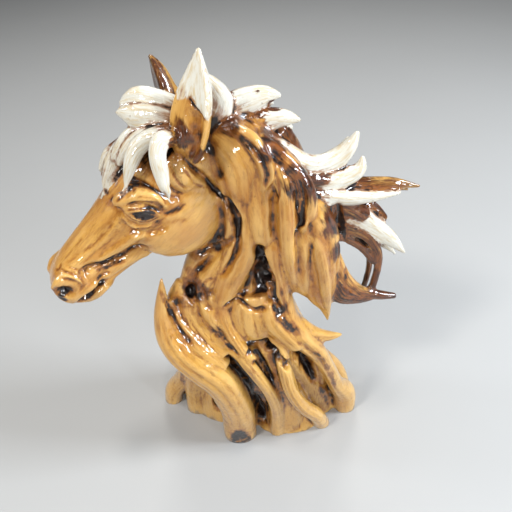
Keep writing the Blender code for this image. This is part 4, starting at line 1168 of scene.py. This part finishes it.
def fuse(obj, voxel):
    """Fuses what overlaps on a grid of voxels, and smooths it."""
    modify(obj, "REMESH", mode="VOXEL", voxel_size=voxel * UNIT)
    modify(obj, "SMOOTH", factor=0.5, iterations=2)
    bake(obj)


def fused_skin():
    clay = Clay()
    add_forms(clay)
    mesh = bpy.data.meshes.new(PIECE)
    mesh.from_pydata((np.array(clay.points) * UNIT).tolist(), [], clay.faces)
    obj = add_object(PIECE, mesh)
    fuse(obj, VOXEL)
    chisel = Chisel(obj)
    carve(chisel)
    chisel.finish()
    fuse(obj, FINE_VOXEL)
    return obj


def nearest_values(sources, values, points):
    tree = KDTree(len(sources))
    for i, p in enumerate(sources):
        tree.insert(p, i)
    tree.balance()
    return values[[tree.find(p)[1] for p in points]]


def store(mesh, amounts):
    for name, values in amounts.items():
        kind, field = ("FLOAT_VECTOR", "vector") if values.ndim == 2 else ("FLOAT", "value")
        layer = mesh.attributes.new(name, kind, "POINT")
        layer.data.foreach_set(field, values.astype(np.float32).ravel())


def make_skin():
    obj = fused_skin()
    carved, laid = engrave(obj)
    faces = sum(len(face.vertices) - 2 for face in obj.data.polygons)
    modify(obj, "DECIMATE", ratio=min(1, TRIANGLES / faces))
    bake(obj)
    cut_flat(obj)
    points, normals = vertex_arrays(obj.data)
    points /= UNIT
    store(obj.data, paint(points, normals, obj.data, nearest_values(carved, laid, points)))
    obj.data.shade_smooth()
    return obj


class Shader:
    """Short ways to add and join nodes."""

    def __init__(self, name):
        self.material = bpy.data.materials.new(name)
        self.material.use_nodes = True
        self.tree = self.material.node_tree
        self.principled = self.tree.nodes["Principled BSDF"]

    def put(self, socket, value):
        if isinstance(value, bpy.types.NodeSocket):
            self.tree.links.new(value, socket)
        else:
            socket.default_value = value

    def finish(self, inputs):
        for name, value in inputs.items():
            self.put(self.principled.inputs[name], value)

    def node(self, kind, inputs=(), output=0, **settings):
        node = self.tree.nodes.new(kind)
        for name, value in settings.items():
            setattr(node, name, value)
        for key, value in dict(inputs).items():
            self.put(node.inputs[key], value)
        return node.outputs[output]

    def attribute(self, name, output="Fac"):
        return self.node("ShaderNodeAttribute", attribute_name=name, output=output)

    def noise(self, where, scale, detail=3.0, roughness=0.55):
        inputs = {"Vector": where, "Scale": scale, "Detail": detail, "Roughness": roughness}
        return self.node("ShaderNodeTexNoise", inputs)

    def maths(self, operation, a, b=0.0):
        return self.node("ShaderNodeMath", {0: a, 1: b}, operation=operation)

    def share(self, value, part):
        return self.maths("MULTIPLY", value, part)

    def ramp(self, value, low, high):
        inputs = {"Value": value, "From Min": low, "From Max": high}
        return self.node("ShaderNodeMapRange", inputs, interpolation_type="SMOOTHSTEP")

    def mix(self, factor, a, b):
        return self.node("ShaderNodeMix", {0: factor, 6: a, 7: b}, output=2, data_type="RGBA")

    def tint(self, colour, tone, value, low, high, part=1.0):
        """The colour turned towards tone, by up to part, as value goes from low to high."""
        return self.mix(self.share(self.ramp(value, low, high), part), colour, tone)

    def swing(self, value, amount):
        """How far the value is from one half, times amount."""
        return self.share(self.maths("SUBTRACT", value, 0.5), amount)


def lacquered_wood():
    """Golden painted wood with stain and painted shade in its hollows, paler crests of wear and painted
    highlight, walnut and cream locks, and a clear glossy lacquer.
    """
    shader = Shader("lacquered_painted_resin")
    grain = shader.attribute("grain", "Vector")
    place = shader.node("ShaderNodeNewGeometry", output="Position")
    stain_and_shade, cream, walnut, wear_and_highlight = (shader.attribute(name) for name in ("stain_and_shade", "cream", "walnut", "wear_and_highlight"))
    bands = shader.noise(grain, 0.16)
    streaks = shader.noise(grain, 0.75, 4.0, 0.65)
    pores = shader.noise(grain, 2.6, 3.0, 0.6)
    clouds = shader.noise(place, 45.0)
    specks = shader.noise(place, 420.0)

    wood = shader.tint(HONEY, GOLDEN, bands, 0.32, 0.68)
    wood = shader.tint(wood, ORANGE, clouds, 0.48, 0.72, 0.8)
    height = shader.node("ShaderNodeSeparateXYZ", {0: place}, output=2)
    low_down = shader.maths("SUBTRACT", 1.0, shader.ramp(height, 0.10, 0.165))
    wood = shader.mix(shader.share(low_down, 0.55), wood, YELLOW)
    wood = shader.tint(wood, BROWN, streaks, 0.52, 0.72, 0.5)
    wood = shader.tint(wood, BROWN, pores, 0.56, 0.72, 0.35)
    wood = shader.tint(wood, RUST, shader.noise(grain, 0.34, 5.0, 0.7), 0.50, 0.66, 0.45)
    # Paler crests: partly wear, partly painted highlight
    wood = shader.mix(shader.share(wear_and_highlight, 0.35), wood, PALE_WEAR_AND_HIGHLIGHT)

    mottle = shader.swing(shader.noise(grain, 0.5, 4.0, 0.7), 1.6)
    dark_wood = shader.tint(CHESTNUT, NEAR_BLACK, streaks, 0.42, 0.64)
    wood = shader.tint(wood, dark_wood, shader.maths("ADD", walnut, mottle), 0.35, 0.85)

    ivory = shader.tint(IVORY, CREAM_SHADE, streaks, 0.42, 0.68)
    fade = shader.swing(streaks, 0.7)
    colour = shader.tint(wood, ivory, shader.maths("ADD", cream, fade), 0.35, 0.65)

    uneven = shader.swing(shader.noise(grain, 0.9, 4.0, 0.65), 1.3)
    broken = shader.ramp(shader.noise(place, 150.0), 0.25, 0.65)
    broken = shader.maths("ADD", 0.35, shader.share(broken, 0.75))
    # Stain and painted shade turn the colour rust, then near black
    stain_and_shade_here = shader.maths("ADD", shader.maths("MULTIPLY", stain_and_shade, broken), uneven)
    colour = shader.tint(colour, RUST, stain_and_shade_here, 0.15, 0.75, 0.8)
    colour = shader.tint(colour, NEAR_BLACK, stain_and_shade_here, 0.65, 1.35)
    colour = shader.tint(colour, BROWN, specks, 0.68, 0.76, 0.5)

    lift = shader.maths("ADD", shader.share(streaks, 0.6), shader.share(pores, 0.25))
    lift = shader.maths("ADD", lift, shader.share(shader.noise(place, 260.0, 2.0), 0.5))
    bump = shader.node("ShaderNodeBump", {"Strength": 0.8, "Distance": 0.0007, "Height": lift})
    ripple = shader.maths("ADD", shader.share(lift, 0.04), shader.noise(place, 150.0, 1.0))
    gloss = shader.node("ShaderNodeBump", {"Strength": 0.6, "Distance": 0.0014, "Height": ripple})
    rough = shader.node("ShaderNodeMapRange", {0: streaks, 3: 0.24, 4: 0.42})
    shader.finish({
        "Base Color": colour, "Roughness": rough, "Normal": bump, "Specular IOR Level": 0.15,
        "Coat Normal": gloss, "Coat Weight": 0.85, "Coat Roughness": 0.04, "Coat IOR": 1.52,
    })
    return shader.material


def add_floor():
    shape = bmesh.new()
    bmesh.ops.create_grid(shape, x_segments=1, y_segments=1, size=FLOOR_REACH)
    mesh = bpy.data.meshes.new("studio_floor")
    shape.to_mesh(mesh)
    shape.free()
    floor = add_object("studio_floor", mesh)
    shader = Shader("pale_paper")
    place = shader.node("ShaderNodeNewGeometry", output="Position")
    tone = shader.mix(shader.noise(place, 6.0), FLOOR_TONE, FLOOR_SHADE)
    shader.finish({"Base Color": tone, "Roughness": 0.7})
    mesh.materials.append(shader.material)


def add_light(name, place, size, power, tone):
    light = bpy.data.lights.new(name, "AREA")
    light.energy, light.size, light.color = power, size, tone
    holder = add_object(name, light)
    holder.location = place
    holder.rotation_euler = (Vector(AIM) - Vector(place)).to_track_quat("-Z", "Y").to_euler()
    holder.visible_camera = False


def add_studio():
    for name, place, size, power, tone in LIGHTS:
        add_light(name, place, size, power, tone)
    world = bpy.data.worlds.new("studio")
    world.use_nodes = True
    background = world.node_tree.nodes["Background"]
    background.inputs["Color"].default_value = (0.86, 0.92, 1.0, 1)
    background.inputs["Strength"].default_value = WORLD_STRENGTH
    bpy.context.scene.world = world
    bpy.context.scene.view_settings.view_transform = "Standard"


def add_camera():
    """The photograph's view: from above and in front, rolled a little."""
    down, roll = math.radians(CAMERA_DOWN), math.radians(CAMERA_ROLL)
    ahead = Vector((0, math.cos(down), -math.sin(down)))
    right = Vector((1, 0, 0))
    up = right.cross(ahead)
    across = right * math.cos(roll) + up * math.sin(roll)
    upward = up * math.cos(roll) - right * math.sin(roll)
    data = bpy.data.cameras.new("photo_view")
    data.lens, data.sensor_width = CAMERA_LENS, SENSOR
    data.clip_start = 0.01
    camera = add_object("photo_view", data)
    turn = Matrix((across, upward, -ahead)).transposed().to_4x4()
    camera.matrix_world = Matrix.Translation(CAMERA_PLACE) @ turn
    bpy.context.scene.camera = camera


skin = make_skin()
skin.data.materials.append(lacquered_wood())
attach(skin, "root")
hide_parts(NODE)
add_floor()
add_studio()
add_camera()
